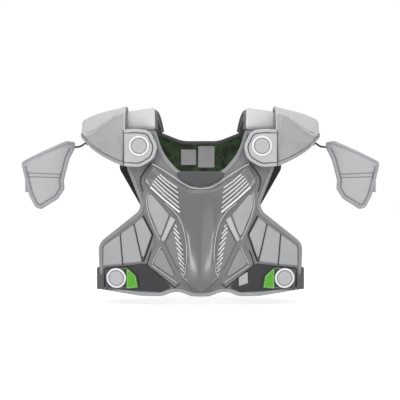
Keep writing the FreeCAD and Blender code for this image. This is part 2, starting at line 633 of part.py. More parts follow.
def main():
    os.makedirs("parts", exist_ok=True)
    nodes = {**chest(), **back()}
    labels = nodes.pop("neck_labels").Solids + nodes["fabric_labels"].Solids
    nodes["fabric_labels"] = Part.makeCompound(labels)
    pair(nodes, "elastic_strap", elastic_strap())
    pair(nodes, "swivel_pads", swivel_pads())
    pair(nodes, "yoke", yoke(0, YOKE_THICK))
    pair(nodes, "yoke_liner", yoke(-SEAT - YOKE_LINER, -SEAT))
    for made in (cap(), arm_pad()):
        for name, shape in made.items():
            pair(nodes, name, shape)
    for name, shape in nodes.items():
        shape.exportStep("parts/%s.step" % name)
        print(name, len(shape.Solids), "solids", "valid" if shape.isValid() else "INVALID",
              round(sum(s.Volume for s in shape.Solids)))


main()
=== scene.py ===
"""Dressed model of a padded shoulder and chest protector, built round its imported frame.

Outlines are drawn in the frontal plane in millimetres, with +X to the viewer's right and +Z up,
and are laid on the body's moulded surfaces.  A piece is drawn once on the left and mirrored.
"""
import logging
import math
from dataclasses import dataclass
from enum import Enum
from typing import Callable, Optional, Sequence

import bmesh
import bpy
import numpy as np
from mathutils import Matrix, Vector, geometry


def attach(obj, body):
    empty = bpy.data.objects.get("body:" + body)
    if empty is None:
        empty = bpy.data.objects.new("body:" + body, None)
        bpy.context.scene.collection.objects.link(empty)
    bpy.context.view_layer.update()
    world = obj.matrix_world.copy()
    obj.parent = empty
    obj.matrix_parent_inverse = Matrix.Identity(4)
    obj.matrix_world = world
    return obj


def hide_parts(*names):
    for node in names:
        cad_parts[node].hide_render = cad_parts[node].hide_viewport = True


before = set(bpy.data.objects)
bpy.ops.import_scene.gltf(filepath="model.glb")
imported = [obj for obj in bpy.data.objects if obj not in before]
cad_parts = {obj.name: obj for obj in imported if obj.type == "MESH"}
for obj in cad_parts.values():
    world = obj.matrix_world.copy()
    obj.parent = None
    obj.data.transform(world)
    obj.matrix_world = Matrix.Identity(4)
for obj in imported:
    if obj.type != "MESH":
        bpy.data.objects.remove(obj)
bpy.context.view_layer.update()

LOG = logging.getLogger("protector")
MM = 0.001

Corner = tuple[float, float, float]
Colour = tuple[float, float, float]
Place = tuple[float, float, float]
Pair = tuple[float, float]
Piece = bpy.types.Object
Material = bpy.types.Material
Socket = bpy.types.NodeSocket
Array = np.ndarray


# ------------------------------------------------------------------ drawing in the frontal plane
def rounded(corners: Sequence[Corner], step: float = 4.0) -> Array:
    """Samples a closed outline whose corners are rounded.

    Args:
        corners: (x, z, radius) of each corner, in order.
        step: longest stretch between two samples on a straight side.

    Returns:
        The samples as an (n, 2) array, counterclockwise.
    """
    at = [np.array(c[:2], float) for c in corners]
    path: list[Array] = []
    for i, here in enumerate(at):
        to_before, to_after = at[i - 1] - here, at[(i + 1) % len(at)] - here
        near = 0.49 * min(np.linalg.norm(to_before), np.linalg.norm(to_after))
        to_before, to_after = to_before / np.linalg.norm(to_before), to_after / np.linalg.norm(to_after)
        half = math.acos(float(np.clip(to_before @ to_after, -1, 1))) / 2
        radius = min(corners[i][2], near * math.tan(half))
        if radius < 0.05 or half > math.radians(89.5):
            path.append(here)
            continue
        inward = (to_before + to_after) / np.linalg.norm(to_before + to_after)
        centre = here + inward * radius / math.sin(half)
        start = here + to_before * radius / math.tan(half) - centre
        end = here + to_after * radius / math.tan(half) - centre
        turn = math.atan2(start[0] * end[1] - start[1] * end[0], float(start @ end))
        count = max(3, int(abs(turn) * radius / 2.0), int(abs(turn) / 0.25)) + 1
        for k in range(count):
            a = turn * k / (count - 1)
            c, s = math.cos(a), math.sin(a)
            path.append(centre + np.array([c * start[0] - s * start[1], s * start[0] + c * start[1]]))
    loop = divided(np.array(path), step)
    x, z = loop[:, 0], loop[:, 1]
    area = float(np.sum(x * np.roll(z, -1) - np.roll(x, -1) * z))
    return loop if area > 0 else loop[::-1].copy()


def divided(path: Array, step: float, closed: bool = True) -> Array:
    """Adds samples to a path so that no two neighbours are further apart than step.

    Args:
        path: (n, 2) or (n, 3) points.
        step: longest stretch that is left.
        closed: whether the last point joins the first.

    Returns:
        The path with its added samples.
    """
    ends = np.roll(path, -1, axis=0) if closed else path[1:]
    out: list[Array] = []
    for a, b in zip(path, ends):
        length = float(np.linalg.norm(b - a))
        if length < 1e-4:
            continue
        count = max(1, math.ceil(length / step))
        out.extend(a + (b - a) * k / count for k in range(count))
    if not closed:
        out.append(path[-1])
    return np.array(out)


def both_sides(left_half: Sequence[Corner]) -> list[Corner]:
    """Whole outline from its left half, listed from the top centre to the bottom centre."""
    return list(left_half) + [(-x, z, r) for x, z, r in reversed(left_half) if abs(x) > 1e-6]


def inward_normals(loop: Array) -> Array:
    """Unit normals of a counterclockwise loop, pointing to its inside."""
    along = np.roll(loop, -1, axis=0) - np.roll(loop, 1, axis=0)
    along /= np.maximum(np.linalg.norm(along, axis=1, keepdims=True), 1e-9)
    return np.column_stack([-along[:, 1], along[:, 0]])


def shrunk(loop: Array, distance: float) -> Array:
    """The loop moved inwards, without the samples that would come too near another side.

    Args:
        loop: counterclockwise loop.
        distance: how far it moves; less than 0 moves it outwards.

    Returns:
        The samples that are left.
    """
    moved = loop + inward_normals(loop) * distance
    keep = distance_to(moved, [loop]) > 0.93 * abs(distance)
    if distance > 0:
        keep &= is_inside(moved, loop)
    return moved[keep]


def distance_to(points: Array, loops: Sequence[Array], closed: bool = True) -> Array:
    """Distance of each point to the nearest side of any of the loops.

    Args:
        points: (n, 2) places.
        loops: the loops, or open lines.
        closed: whether the last sample of each joins its first.

    Returns:
        The n distances.
    """
    best = np.full(len(points), 1e9)
    for loop in loops:
        a = loop if closed else loop[:-1]
        b = np.roll(loop, -1, axis=0) if closed else loop[1:]
        ab = b - a
        length = np.maximum((ab ** 2).sum(1), 1e-12)
        for first in range(0, len(points), 4000):
            p = points[first:first + 4000, None, :] - a[None]
            t = np.clip((p * ab[None]).sum(2) / length[None], 0, 1)
            gap = np.linalg.norm(p - t[..., None] * ab[None], axis=2).min(1)
            best[first:first + 4000] = np.minimum(best[first:first + 4000], gap)
    return best


def is_inside(points: Array, loop: Array) -> Array:
    """Whether each point lies inside a loop.

    Args:
        points: (n, 2) places.
        loop: the loop's samples.

    Returns:
        A mask of n entries.
    """
    a, b = loop, np.roll(loop, -1, axis=0)
    x, z = points[:, 0, None], points[:, 1, None]
    rise = np.where(np.abs(b[:, 1] - a[:, 1]) < 1e-12, 1e-12, b[:, 1] - a[:, 1])
    crosses = (a[:, 1] > z) != (b[:, 1] > z)
    reach = a[:, 0] + (z - a[:, 1]) / rise * (b[:, 0] - a[:, 0])
    return (crosses & (x < reach)).sum(1) % 2 == 1


def smooth_step(value: Array) -> Array:
    """Eases from 0 to 1 as value goes from 0 to 1."""
    t = np.clip(value, 0, 1)
    return t * t * (3 - 2 * t)


# ------------------------------------------------------------------ surfaces that pieces are laid on
class Surface:
    """A surface in the row frame that outlines of the frontal plane are laid on."""

    def at(self, flat: Array, depth: Array) -> Array:
        """Row-frame points, in mm, over (x, z) places at distances outside the surface."""
        raise NotImplementedError

    def over(self, flat: Array, depth: float) -> Array:
        """Row-frame points over (x, z) places, all at one distance outside the surface."""
        return self.at(flat, np.full(len(flat), depth))


@dataclass(frozen=True)
class Mould(Surface):
    """Chest or back surface: an arc in the middle plane turned about an upright axis."""

    side: int
    turn_axis: float
    top: Pair
    middle: Pair
    hem: Pair

    def arc(self) -> tuple[float, float, float]:
        """Centre (y, z) and radius of the arc.

        Returns:
            Centre y, centre z and radius of the circle through the three points.
        """
        (ay, az), (by, bz), (cy, cz) = self.top, self.middle, self.hem
        d = 2 * (ay * (bz - cz) + by * (cz - az) + cy * (az - bz))
        a2, b2, c2 = ay * ay + az * az, by * by + bz * bz, cy * cy + cz * cz
        y = (a2 * (bz - cz) + b2 * (cz - az) + c2 * (az - bz)) / d
        z = (a2 * (cy - by) + b2 * (ay - cy) + c2 * (by - ay)) / d
        return y, z, math.hypot(ay - y, az - z)

    def at(self, flat: Array, depth: Array) -> Array:
        """See Surface.at."""
        cy, cz, radius = self.arc()
        x, z = flat[:, 0], flat[:, 1]
        bow = cy + self.side * np.sqrt((radius + depth) ** 2 - (z - cz) ** 2)
        turn = np.abs(bow - self.turn_axis)
        return np.column_stack([x, self.turn_axis + self.side * np.sqrt(turn ** 2 - x ** 2), z])


@dataclass(frozen=True)
class Plane(Surface):
    """Upright plane that faces the front (side -1) or the rear (side 1)."""

    side: int
    y: float

    def at(self, flat: Array, depth: Array) -> Array:
        """See Surface.at."""
        return np.column_stack([flat[:, 0], self.y + self.side * depth, flat[:, 1]])


@dataclass(frozen=True)
class Barrel(Surface):
    """Outer face of an arm pad: an arc turned about the arm's centre line."""

    axis: Pair
    profile: tuple[Pair, ...]

    def radius(self, z: Array) -> Array:
        """Distance of the pad's outer face from the centre line at a height."""
        (r0, z0), (r1, z1), (r2, z2) = self.profile
        return (r0 * (z - z1) * (z - z2) / ((z0 - z1) * (z0 - z2))
                + r1 * (z - z0) * (z - z2) / ((z1 - z0) * (z1 - z2))
                + r2 * (z - z0) * (z - z1) / ((z2 - z0) * (z2 - z1)))

    def at(self, flat: Array, depth: Array) -> Array:
        """See Surface.at; the depth is along the radius."""
        x, z = flat[:, 0] - self.axis[0], flat[:, 1]
        r = self.radius(z)
        x = np.clip(x, -0.995 * r, 0.995 * r)
        y = -np.sqrt(r ** 2 - x ** 2)
        grow = (r + depth) / r
        return np.column_stack([self.axis[0] + x * grow, self.axis[1] + y * grow, z])


CHEST = Mould(-1, 350.0, (-70.0, -38.0), (-105.0, -230.0), (-95.0, -386.0))
BACK = Mould(1, -350.0, (70.0, -38.0), (97.0, -220.0), (90.0, -378.0))

# ------------------------------------------------------------------ layers over the body surfaces
SEAT = 0.3
LINER = 1.8
FOAM = 10.0
PLATE = 3.0
ON_FOAM = FOAM + SEAT
ON_PLATE = ON_FOAM + PLATE + SEAT
GUARD = 3.6
RIB_PAD = 6.0
LOOP_PILE = 1.2
TAB = 2.6
PATCH = 1.2
LABEL = 0.6
BINDING_WIDTH = 8.0
SEAM_Z = -38.8


# ------------------------------------------------------------------ meshes
def placed(name: str, data: bpy.types.ID) -> Piece:
    """New object at the origin, linked to the scene."""
    obj = bpy.data.objects.new(name, data)
    bpy.context.scene.collection.objects.link(obj)
    return obj


def face_outwards(mesh: bpy.types.Mesh) -> None:
    """Merges a mesh's doubled points and turns its faces outwards.

    Args:
        mesh: the mesh.
    """
    sheet = bmesh.new()
    sheet.from_mesh(mesh)
    bmesh.ops.remove_doubles(sheet, verts=sheet.verts, dist=1e-6)
    bmesh.ops.recalc_face_normals(sheet, faces=sheet.faces)
    sheet.to_mesh(mesh)
    sheet.free()


def to_object(name: str, points: Array, faces: Sequence[Sequence[int]], crease: float = 42.0) -> Piece:
    """Makes a smooth-shaded object at the origin from points in mm.

    Args:
        name: the piece's name.
        points: row-frame points in mm.
        faces: corner numbers of each face.
        crease: angle in degrees above which an edge is shaded sharp.

    Returns:
        The new object, linked to the scene.
    """
    mesh = bpy.data.meshes.new(name)
    mesh.from_pydata([tuple(p) for p in np.asarray(points) * MM], [], [tuple(f) for f in faces])
    face_outwards(mesh)
    mesh.shade_smooth()
    mesh.set_sharp_from_angle(angle=math.radians(crease))
    return placed(name, mesh)


def mirrored(obj: Piece, name: str) -> Piece:
    """Copy of a left-hand object on the right.

    Args:
        obj: the left-hand object.
        name: name of the copy.

    Returns:
        The copy, with its faces still outwards.
    """
    mesh = obj.data.copy()
    points = np.empty(len(mesh.vertices) * 3)
    mesh.vertices.foreach_get("co", points)
    points[0::3] *= -1
    mesh.vertices.foreach_set("co", points)
    mesh.flip_normals()
    mesh.update()
    return placed(name, mesh)


Relief = Callable[[Array, Array], Array]


@dataclass
class Pad:
    """A padded panel: an outline, its thickness and the way its face swells from edge to middle.

    Args:
        outline: closed outline in the frontal plane.
        seat: depth of the panel's back face over its surface.
        thick: thickness of the panel.
        edge: share of the thickness that is left at the outline.
        roll: width of the rounded edge.
        crown: how far the middle stands out beyond the thickness.
        crown_reach: distance from the outline over which the crown rises.
        step: spacing of the mesh.
        holes: outlines that are cut out.
        relief: extra depth at (x, z) places, given also their distance to the outline.
    """

    outline: Array
    seat: float
    thick: float
    edge: float = 0.35
    roll: float = 3.0
    crown: float = 0.0
    crown_reach: float = 22.0
    step: float = 4.5
    holes: Sequence[Array] = ()
    relief: Optional[Relief] = None

    def loops(self) -> list[Array]:
        """The outline and the holes."""
        return [self.outline, *self.holes]

    def face_depth(self, flat: Array) -> Array:
        """Depth of the panel's face over (x, z) places.

        Args:
            flat: the places.

        Returns:
            The depths.
        """
        gap = distance_to(flat, self.loops())
        near = np.clip(gap / self.roll, 0, 1)
        swell = self.edge + (1 - self.edge) * np.sqrt(1 - (1 - near) ** 2)
        depth = self.seat + self.thick * swell
        depth = depth + self.crown * (1 - np.exp(-(gap / self.crown_reach) ** 2))
        return depth if self.relief is None else depth + self.relief(flat, gap)

    def flat_points(self) -> Array:
        """Mesh points in the frontal plane: the loops, rings beside them and a field between.

        Returns:
            The points, with those of the loops first.
        """
        groups = list(self.loops())
        for loop in self.loops():
            for share in (0.12, 0.4, 0.75, 1.1):
                inner = loop + inward_normals(loop) * self.roll * share * (1 if loop is self.outline else -1)
                clear = distance_to(inner, self.loops()) > 0.9 * self.roll * share
                groups.append(inner[clear & self.covers(inner)])
        low, high = self.outline.min(0), self.outline.max(0)
        rows = np.arange(low[1], high[1], self.step * 0.866)
        columns = np.arange(low[0], high[0], self.step)
        field_x, field_z = np.meshgrid(columns, rows)
        field_x = field_x + np.where(np.arange(len(rows)) % 2, self.step / 2, 0.0)[:, None]
        grid = np.column_stack([field_x.ravel(), field_z.ravel()])
        grid = grid[self.covers(grid)]
        groups.append(grid[distance_to(grid, self.loops()) > self.roll * 1.1 + 0.45 * self.step])
        return np.vstack(groups)

    def covers(self, points: Array) -> Array:
        """Whether each point lies on the panel.

        Args:
            points: (n, 2) places.

        Returns:
            A mask of n entries.
        """
        found = is_inside(points, self.outline)
        for hole in self.holes:
            found &= ~is_inside(points, hole)
        return found

    def flat_mesh(self) -> tuple[Array, list[list[int]]]:
        """The closed panel as (x, depth, z) points and faces.

        Returns:
            The points, and the corner numbers of each face.
        """
        flat = self.flat_points()
        edges, first = [], 0
        for loop in self.loops():
            count = len(loop)
            edges += [(first + i, first + (i + 1) % count) for i in range(count)]
            first += count
        made = geometry.delaunay_2d_cdt([Vector(p) for p in flat], edges, [], 0, 1e-5, False)
        flat = np.array([tuple(v) for v in made[0]])
        triangles = np.array([f for f in made[2] if len(f) == 3])
        triangles = triangles[self.covers(flat[triangles].mean(1))]
        used = np.unique(triangles)
        renumber = np.full(len(flat), -1)
        renumber[used] = np.arange(len(used))
        flat, triangles = flat[used], renumber[triangles]
        front = np.column_stack([flat[:, 0], self.face_depth(flat), flat[:, 1]])
        rear = np.column_stack([flat[:, 0], np.full(len(flat), self.seat), flat[:, 1]])
        count = len(flat)
        faces = [list(t) for t in triangles] + [[t[2] + count, t[1] + count, t[0] + count] for t in triangles]
        sides: dict[tuple[int, int], int] = {}
        for a, b, c in triangles:
            for pair in ((a, b), (b, c), (c, a)):
                sides[pair] = sides.get(pair, 0) + 1
        for a, b in sides:
            if (b, a) not in sides:
                faces.append([b, a, a + count, b + count])
        return np.vstack([front, rear]), faces

    def lay(self, name: str, surface: Surface, crease: float = 42.0) -> Piece:
        """Makes the panel on a surface."""
        points, faces = self.flat_mesh()
        return to_object(name, surface.at(points[:, [0, 2]], points[:, 1]), faces, crease)


def groove(lines: Sequence[Array], width: float, depth: float) -> Relief:
    """Relief that sinks a groove along open lines."""
    def sunk(flat: Array, gap: Array) -> Array:
        """Depth of the groove at each place."""
        return -depth * np.exp(-(distance_to(flat, lines, closed=False) / width) ** 2)
    return sunk


def inset_groove(inset: float, width: float, depth: float) -> Relief:
    """Relief that sinks a groove at a fixed distance inside the outline."""
    def sunk(flat: Array, gap: Array) -> Array:
        """Depth of the groove at each place."""
        return -depth * np.exp(-((gap - inset) / width) ** 2)
    return sunk


def added(*reliefs: Relief) -> Relief:
    """Several reliefs at once."""
    def total(flat: Array, gap: Array) -> Array:
        """Sum of the reliefs at each place."""
        return sum(r(flat, gap) for r in reliefs)
    return total


def band(first: int, second: int, size: int, closed: bool = True) -> list[list[int]]:
    """Faces between two rings of points.

    Args:
        first: number of the first ring's first point.
        second: number of the second ring's first point.
        size: number of points in a ring.
        closed: whether a ring's last point joins its first.

    Returns:
        Corner numbers of each face.
    """
    return [[first + k, first + (k + 1) % size, second + (k + 1) % size, second + k]
            for k in range(size if closed else size - 1)]


def swept(name: str, rings: Array, closed: bool) -> Piece:
    """Makes a tube from rings of points.

    Args:
        name: the piece's name.
        rings: (ring, point, 3) array of row-frame points in mm.
        closed: whether the last ring joins the first; otherwise both ends get a lid.

    Returns:
        The new object.
    """
    count, size = rings.shape[:2]
    faces = []
    for i in range(count if closed else count - 1):
        faces += band(i * size, (i + 1) % count * size, size)
    if not closed:
        faces.append(list(range(size))[::-1])
        faces.append([(count - 1) * size + k for k in range(size)])
    return to_object(name, rings.reshape(-1, 3), faces, 55.0)


def edge_binding(name: str, loop: Array, surface: Surface, low: float, high: float, width: float,
                 lip: float = 0.8, swell: float = 1.6) -> Piece:
    """Folded tape round the edge of a panel.

    Args:
        name: the piece's name.
        loop: the panel's outline.
        surface: what the panel lies on.
        low: depth of the panel's back face.
        high: depth of the panel's front face.
        width: how far the tape reaches in from the edge.
        lip: how far the tape stands off the panel's faces.
        swell: extra height of the tape's rounded middle.

    Returns:
        The new object.
    """
    section = [(width, high - 0.6), (width, high + 0.4 * lip), (0.8 * width, high + lip + 0.6 * swell),
               (0.5 * width, high + lip + swell), (0.22 * width, high + lip + 0.6 * swell),
               (0.06 * width, high), (0.0, 0.7 * high + 0.3 * low), (0.0, 0.3 * high + 0.7 * low),
               (0.08 * width, low - 0.2 * lip), (0.3 * width, low - lip), (0.9 * width, low - lip),
               (width, low + 0.2)]
    normals = inward_normals(loop)
    rings = [surface.over(loop + normals * u, d) for u, d in section]
    return swept(name, np.stack(rings, axis=1), True)


def tube_along(name: str, line: Array, radius: float, closed: bool = False,
               sides: int = 8) -> Piece:
    """Makes a round tube along a line.

    Args:
        name: the piece's name.
        line: row-frame points in mm.
        radius: radius of the tube.
        closed: whether the line's last point joins its first.
        sides: number of sides of its section.

    Returns:
        The new object.
    """
    ahead = np.roll(line, -1, axis=0) - np.roll(line, 1, axis=0) if closed else np.gradient(line, axis=0)
    ahead /= np.maximum(np.linalg.norm(ahead, axis=1, keepdims=True), 1e-9)
    out = np.cross(ahead, np.array([0.0, 1.0, 0.0]))
    out /= np.maximum(np.linalg.norm(out, axis=1, keepdims=True), 1e-9)
    up = np.cross(out, ahead)
    turns = np.linspace(0, 2 * math.pi, sides, endpoint=False)
    rings = [line + radius * (math.cos(t) * out + math.sin(t) * up) for t in turns]
    return swept(name, np.stack(rings, axis=1), closed)


# ------------------------------------------------------------------ Geometry Nodes
class Tree:
    """A Geometry Nodes tree with named inputs that turns a carrier mesh into a plain mesh."""

    def __init__(self, name: str, floats: dict[str, float], counts: dict[str, int]) -> None:
        """Makes the tree with a geometry, a material and the named number inputs.

        Args:
            name: the tree's name.
            floats: its decimal inputs and their first values.
            counts: its whole-number inputs and their first values.
        """
        self.group = bpy.data.node_groups.new(name, "GeometryNodeTree")
        face = self.group.interface
        face.new_socket(name="Geometry", in_out="INPUT", socket_type="NodeSocketGeometry")
        face.new_socket(name="Geometry", in_out="OUTPUT", socket_type="NodeSocketGeometry")
        face.new_socket(name="Material", in_out="INPUT", socket_type="NodeSocketMaterial")
        for key, value in floats.items():
            face.new_socket(name=key, in_out="INPUT", socket_type="NodeSocketFloat").default_value = value
        for key, value in counts.items():
            face.new_socket(name=key, in_out="INPUT", socket_type="NodeSocketInt").default_value = value
        self.given = self.add("NodeGroupInput")
        self.result = self.add("NodeGroupOutput")

    def add(self, kind: str, **values: object) -> bpy.types.Node:
        """Adds a node and sets its properties.

        Args:
            kind: the node's type.
            **values: its properties.

        Returns:
            The node.
        """
        node = self.group.nodes.new(kind)
        for key, value in values.items():
            setattr(node, key, value)
        return node

    def link(self, source: Socket, target: Socket) -> None:
        """Joins two sockets."""
        self.group.links.new(source, target)

    def close(self, instances: Socket) -> None:
        """Ends the tree: real geometry with the given material.

        Args:
            instances: socket with what the tree has made.
        """
        real = self.add("GeometryNodeRealizeInstances")
        painted = self.add("GeometryNodeSetMaterial")
        self.link(instances, real.inputs[0])
        self.link(real.outputs[0], painted.inputs["Geometry"])
        self.link(self.given.outputs["Material"], painted.inputs["Material"])
        self.link(painted.outputs[0], self.result.inputs[0])

    def run(self, name: str, carrier: Piece, material: Material,
            **values: float) -> Piece:
        """Applies the tree to a carrier, which is used up.

        Args:
            name: the new piece's name.
            carrier: the object whose mesh the tree reads.
            material: the material of the result.
            **values: the tree's inputs by name, with underscores for spaces.

        Returns:
            The piece as a plain mesh object.
        """
        modifier = carrier.modifiers.new("tree", "NODES")
        modifier.node_group = self.group
        wanted = {key.replace("_", " "): value for key, value in values.items()}
        wanted["Material"] = material
        for item in self.group.interface.items_tree:
            if item.in_out == "INPUT" and item.name in wanted:
                modifier[item.identifier] = wanted[item.name]
        bpy.context.view_layer.update()
        evaluated = carrier.evaluated_get(bpy.context.evaluated_depsgraph_get())
        mesh = bpy.data.meshes.new_from_object(evaluated)
        bpy.data.objects.remove(carrier, do_unlink=True)
        mesh.name = name
        return placed(name, mesh)


class StitchTree(Tree):
    """Sews a row of short stitches along each line of the carrier."""

    def __init__(self) -> None:
        """Builds the tree."""
        sizes = {"Pitch": 4.2 * MM, "Length": 2.8 * MM, "Radius": 0.4 * MM}
        super().__init__("Stitches", sizes, {"Sides": 6})
        curve = self.add("GeometryNodeMeshToCurve")
        spaced = self.add("GeometryNodeResampleCurve", mode="LENGTH")
        thread = self.add("GeometryNodeMeshCylinder")
        along = self.add("GeometryNodeInputTangent")
        turn = self.add("FunctionNodeAlignRotationToVector", axis="Z")
        placed = self.add("GeometryNodeInstanceOnPoints")
        self.link(self.given.outputs["Geometry"], curve.inputs[0])
        self.link(curve.outputs[0], spaced.inputs["Curve"])
        self.link(self.given.outputs["Pitch"], spaced.inputs["Length"])
        self.link(self.given.outputs["Sides"], thread.inputs["Vertices"])
        self.link(self.given.outputs["Radius"], thread.inputs["Radius"])
        self.link(self.given.outputs["Length"], thread.inputs["Depth"])
        self.link(along.outputs[0], turn.inputs["Vector"])
        self.link(spaced.outputs[0], placed.inputs["Points"])
        self.link(thread.outputs["Mesh"], placed.inputs["Instance"])
        self.link(turn.outputs[0], placed.inputs["Rotation"])
        self.close(placed.outputs[0])

    def sew(self, name: str, lines: Sequence[Array], material: Material,
            closed: bool = False) -> Piece:
        """Sews along row-frame lines in mm.

        Args:
            name: the new piece's name.
            lines: (n, 3) points of each line.
            material: the thread's material.
            closed: whether each line runs back to its start.

        Returns:
            The stitches as one plain mesh object.
        """
        points, edges = [], []
        for line in lines:
            first = len(points)
            points += [tuple(p) for p in line * MM]
            count = len(line) if closed else len(line) - 1
            edges += [(first + i, first + (i + 1) % len(line)) for i in range(count)]
        mesh = bpy.data.meshes.new(name)
        mesh.from_pydata(points, edges, [])
        return self.run(name, placed(name + "_line", mesh), material)


class RowTree(Tree):
    """Repeats the carrier in a row."""

    def __init__(self) -> None:
        """Builds the tree."""
        super().__init__("Row", {"Pitch": 0.05}, {"Count": 5})
        row = self.add("GeometryNodeMeshLine", mode="OFFSET")
        offset = self.add("ShaderNodeCombineXYZ")
        placed = self.add("GeometryNodeInstanceOnPoints")
        self.link(self.given.outputs["Pitch"], offset.inputs["Z"])
        self.link(offset.outputs[0], row.inputs["Offset"])
        self.link(self.given.outputs["Count"], row.inputs["Count"])
        self.link(row.outputs[0], placed.inputs["Points"])
        self.link(self.given.outputs["Geometry"], placed.inputs["Instance"])
        self.close(placed.outputs[0])


def painted(obj: Piece, first: Material, second: Material,
            test: Callable[[Array], Array]) -> Piece:
    """Gives an object its first material, and the second where the test holds.

    Args:
        obj: the object.
        first: its main material.
        second: the material of the faces that pass the test.
        test: tells which face centres, as an (n, 3) array in mm, take the second material.

    Returns:
        The same object.
    """
    centres = np.array([tuple(face.center) for face in obj.data.polygons]) / MM
    obj.data.materials.append(first)
    obj.data.materials.append(second)
    obj.data.polygons.foreach_set("material_index", test(centres).astype(np.int32))
    return obj


def conformed(obj: Piece, shape: Callable[[Array], Array]) -> Piece:
    """Moves an object's points, read in mm, by a shape function and returns it.

    Args:
        obj: the object.
        shape: gives the new (n, 3) points for the old ones.

    Returns:
        The same object, with its faces outwards.
    """
    count = len(obj.data.vertices)
    points = np.empty(count * 3)
    obj.data.vertices.foreach_get("co", points)
    moved = shape(points.reshape(-1, 3) / MM) * MM
    obj.data.vertices.foreach_set("co", moved.ravel())
    face_outwards(obj.data)
    obj.data.shade_smooth()
    obj.data.set_sharp_from_angle(angle=math.radians(42))
    obj.data.update()
    return obj


# ------------------------------------------------------------------ finishes
def linear(*srgb: float) -> tuple[float, float, float, float]:
    """Linear colour of an sRGB colour whose channels go to 255.

    Args:
        *srgb: red, green and blue.

    Returns:
        Red, green, blue and an alpha of 1.
    """
    parts = [c / 255 for c in srgb]
    lin = [c / 12.92 if c <= 0.04045 else ((c + 0.055) / 1.055) ** 2.4 for c in parts]
    return lin[0], lin[1], lin[2], 1.0


class ShaderGroup:
    """A shader node group that several materials share."""

    def __init__(self, name: str, inputs: dict[str, float], outputs: dict[str, str]) -> None:
        """Makes the group with number inputs and outputs of the given socket types.

        Args:
            name: the group's name.
            inputs: its number inputs and their first values.
            outputs: its outputs and their socket types.
        """
        self.tree = bpy.data.node_groups.new(name, "ShaderNodeTree")
        for key, value in inputs.items():
            socket = self.tree.interface.new_socket(name=key, in_out="INPUT", socket_type="NodeSocketFloat")
            socket.default_value = value
        for key, kind in outputs.items():
            self.tree.interface.new_socket(name=key, in_out="OUTPUT", socket_type=kind)
        self.given = self.tree.nodes.new("NodeGroupInput")
        self.result = self.tree.nodes.new("NodeGroupOutput")
        self.place = self.tree.nodes.new("ShaderNodeTexCoord").outputs["Object"]

    def node(self, kind: str, **values: object) -> bpy.types.Node:
        """Adds a node and sets its properties.

        Args:
            kind: the node's type.
            **values: its properties.

        Returns:
            The node.
        """
        made = self.tree.nodes.new(kind)
        for key, value in values.items():
            setattr(made, key, value)
        return made

    def join(self, source: Socket, target: Socket) -> None:
        """Links two sockets."""
        self.tree.links.new(source, target)


class Mottle(ShaderGroup):
    """Soft uneven patches, as a factor for a mix of two shades."""

    def __init__(self) -> None:
        """Builds the group."""
        super().__init__("Mottle", {"Scale": 40.0, "Contrast": 1.0}, {"Factor": "NodeSocketFloat"})
        noise = self.node("ShaderNodeTexNoise")
        noise.inputs["Detail"].default_value = 3.0
        spread = self.node("ShaderNodeMath", operation="MULTIPLY_ADD", use_clamp=True)
        centred = self.node("ShaderNodeMath", operation="SUBTRACT")
        centred.inputs[1].default_value = 0.5
        spread.inputs[2].default_value = 0.5
        self.join(self.place, noise.inputs["Vector"])
        self.join(self.given.outputs["Scale"], noise.inputs["Scale"])
        self.join(noise.outputs["Fac"], centred.inputs[0])
        self.join(centred.outputs[0], spread.inputs[0])
        self.join(self.given.outputs["Contrast"], spread.inputs[1])
        self.join(spread.outputs[0], self.result.inputs[0])


class Weave(ShaderGroup):
    """Height of a plain weave whose threads run along X and Z."""

    def __init__(self) -> None:
        """Builds the group."""
        super().__init__("Weave", {"Pitch": 0.001}, {"Height": "NodeSocketFloat"})
        parts = self.node("ShaderNodeSeparateXYZ")
        self.join(self.place, parts.inputs[0])
        per = self.node("ShaderNodeMath", operation="DIVIDE")
        per.inputs[0].default_value = 2 * math.pi
        self.join(self.given.outputs["Pitch"], per.inputs[1])
        waves = []
        for axis in ("X", "Z"):
            turn = self.node("ShaderNodeMath", operation="MULTIPLY")
            wave = self.node("ShaderNodeMath", operation="SINE")
            self.join(parts.outputs[axis], turn.inputs[0])
            self.join(per.outputs[0], turn.inputs[1])
            self.join(turn.outputs[0], wave.inputs[0])
            waves.append(wave.outputs[0])
        cross = self.node("ShaderNodeMath", operation="MULTIPLY")
        self.join(waves[0], cross.inputs[0])
        self.join(waves[1], cross.inputs[1])
        self.join(cross.outputs[0], self.result.inputs[0])


class Texture(Enum):
    """What a finish feels like close up."""

    SMOOTH = "smooth"
    GRAIN = "grain"
    WEAVE = "weave"


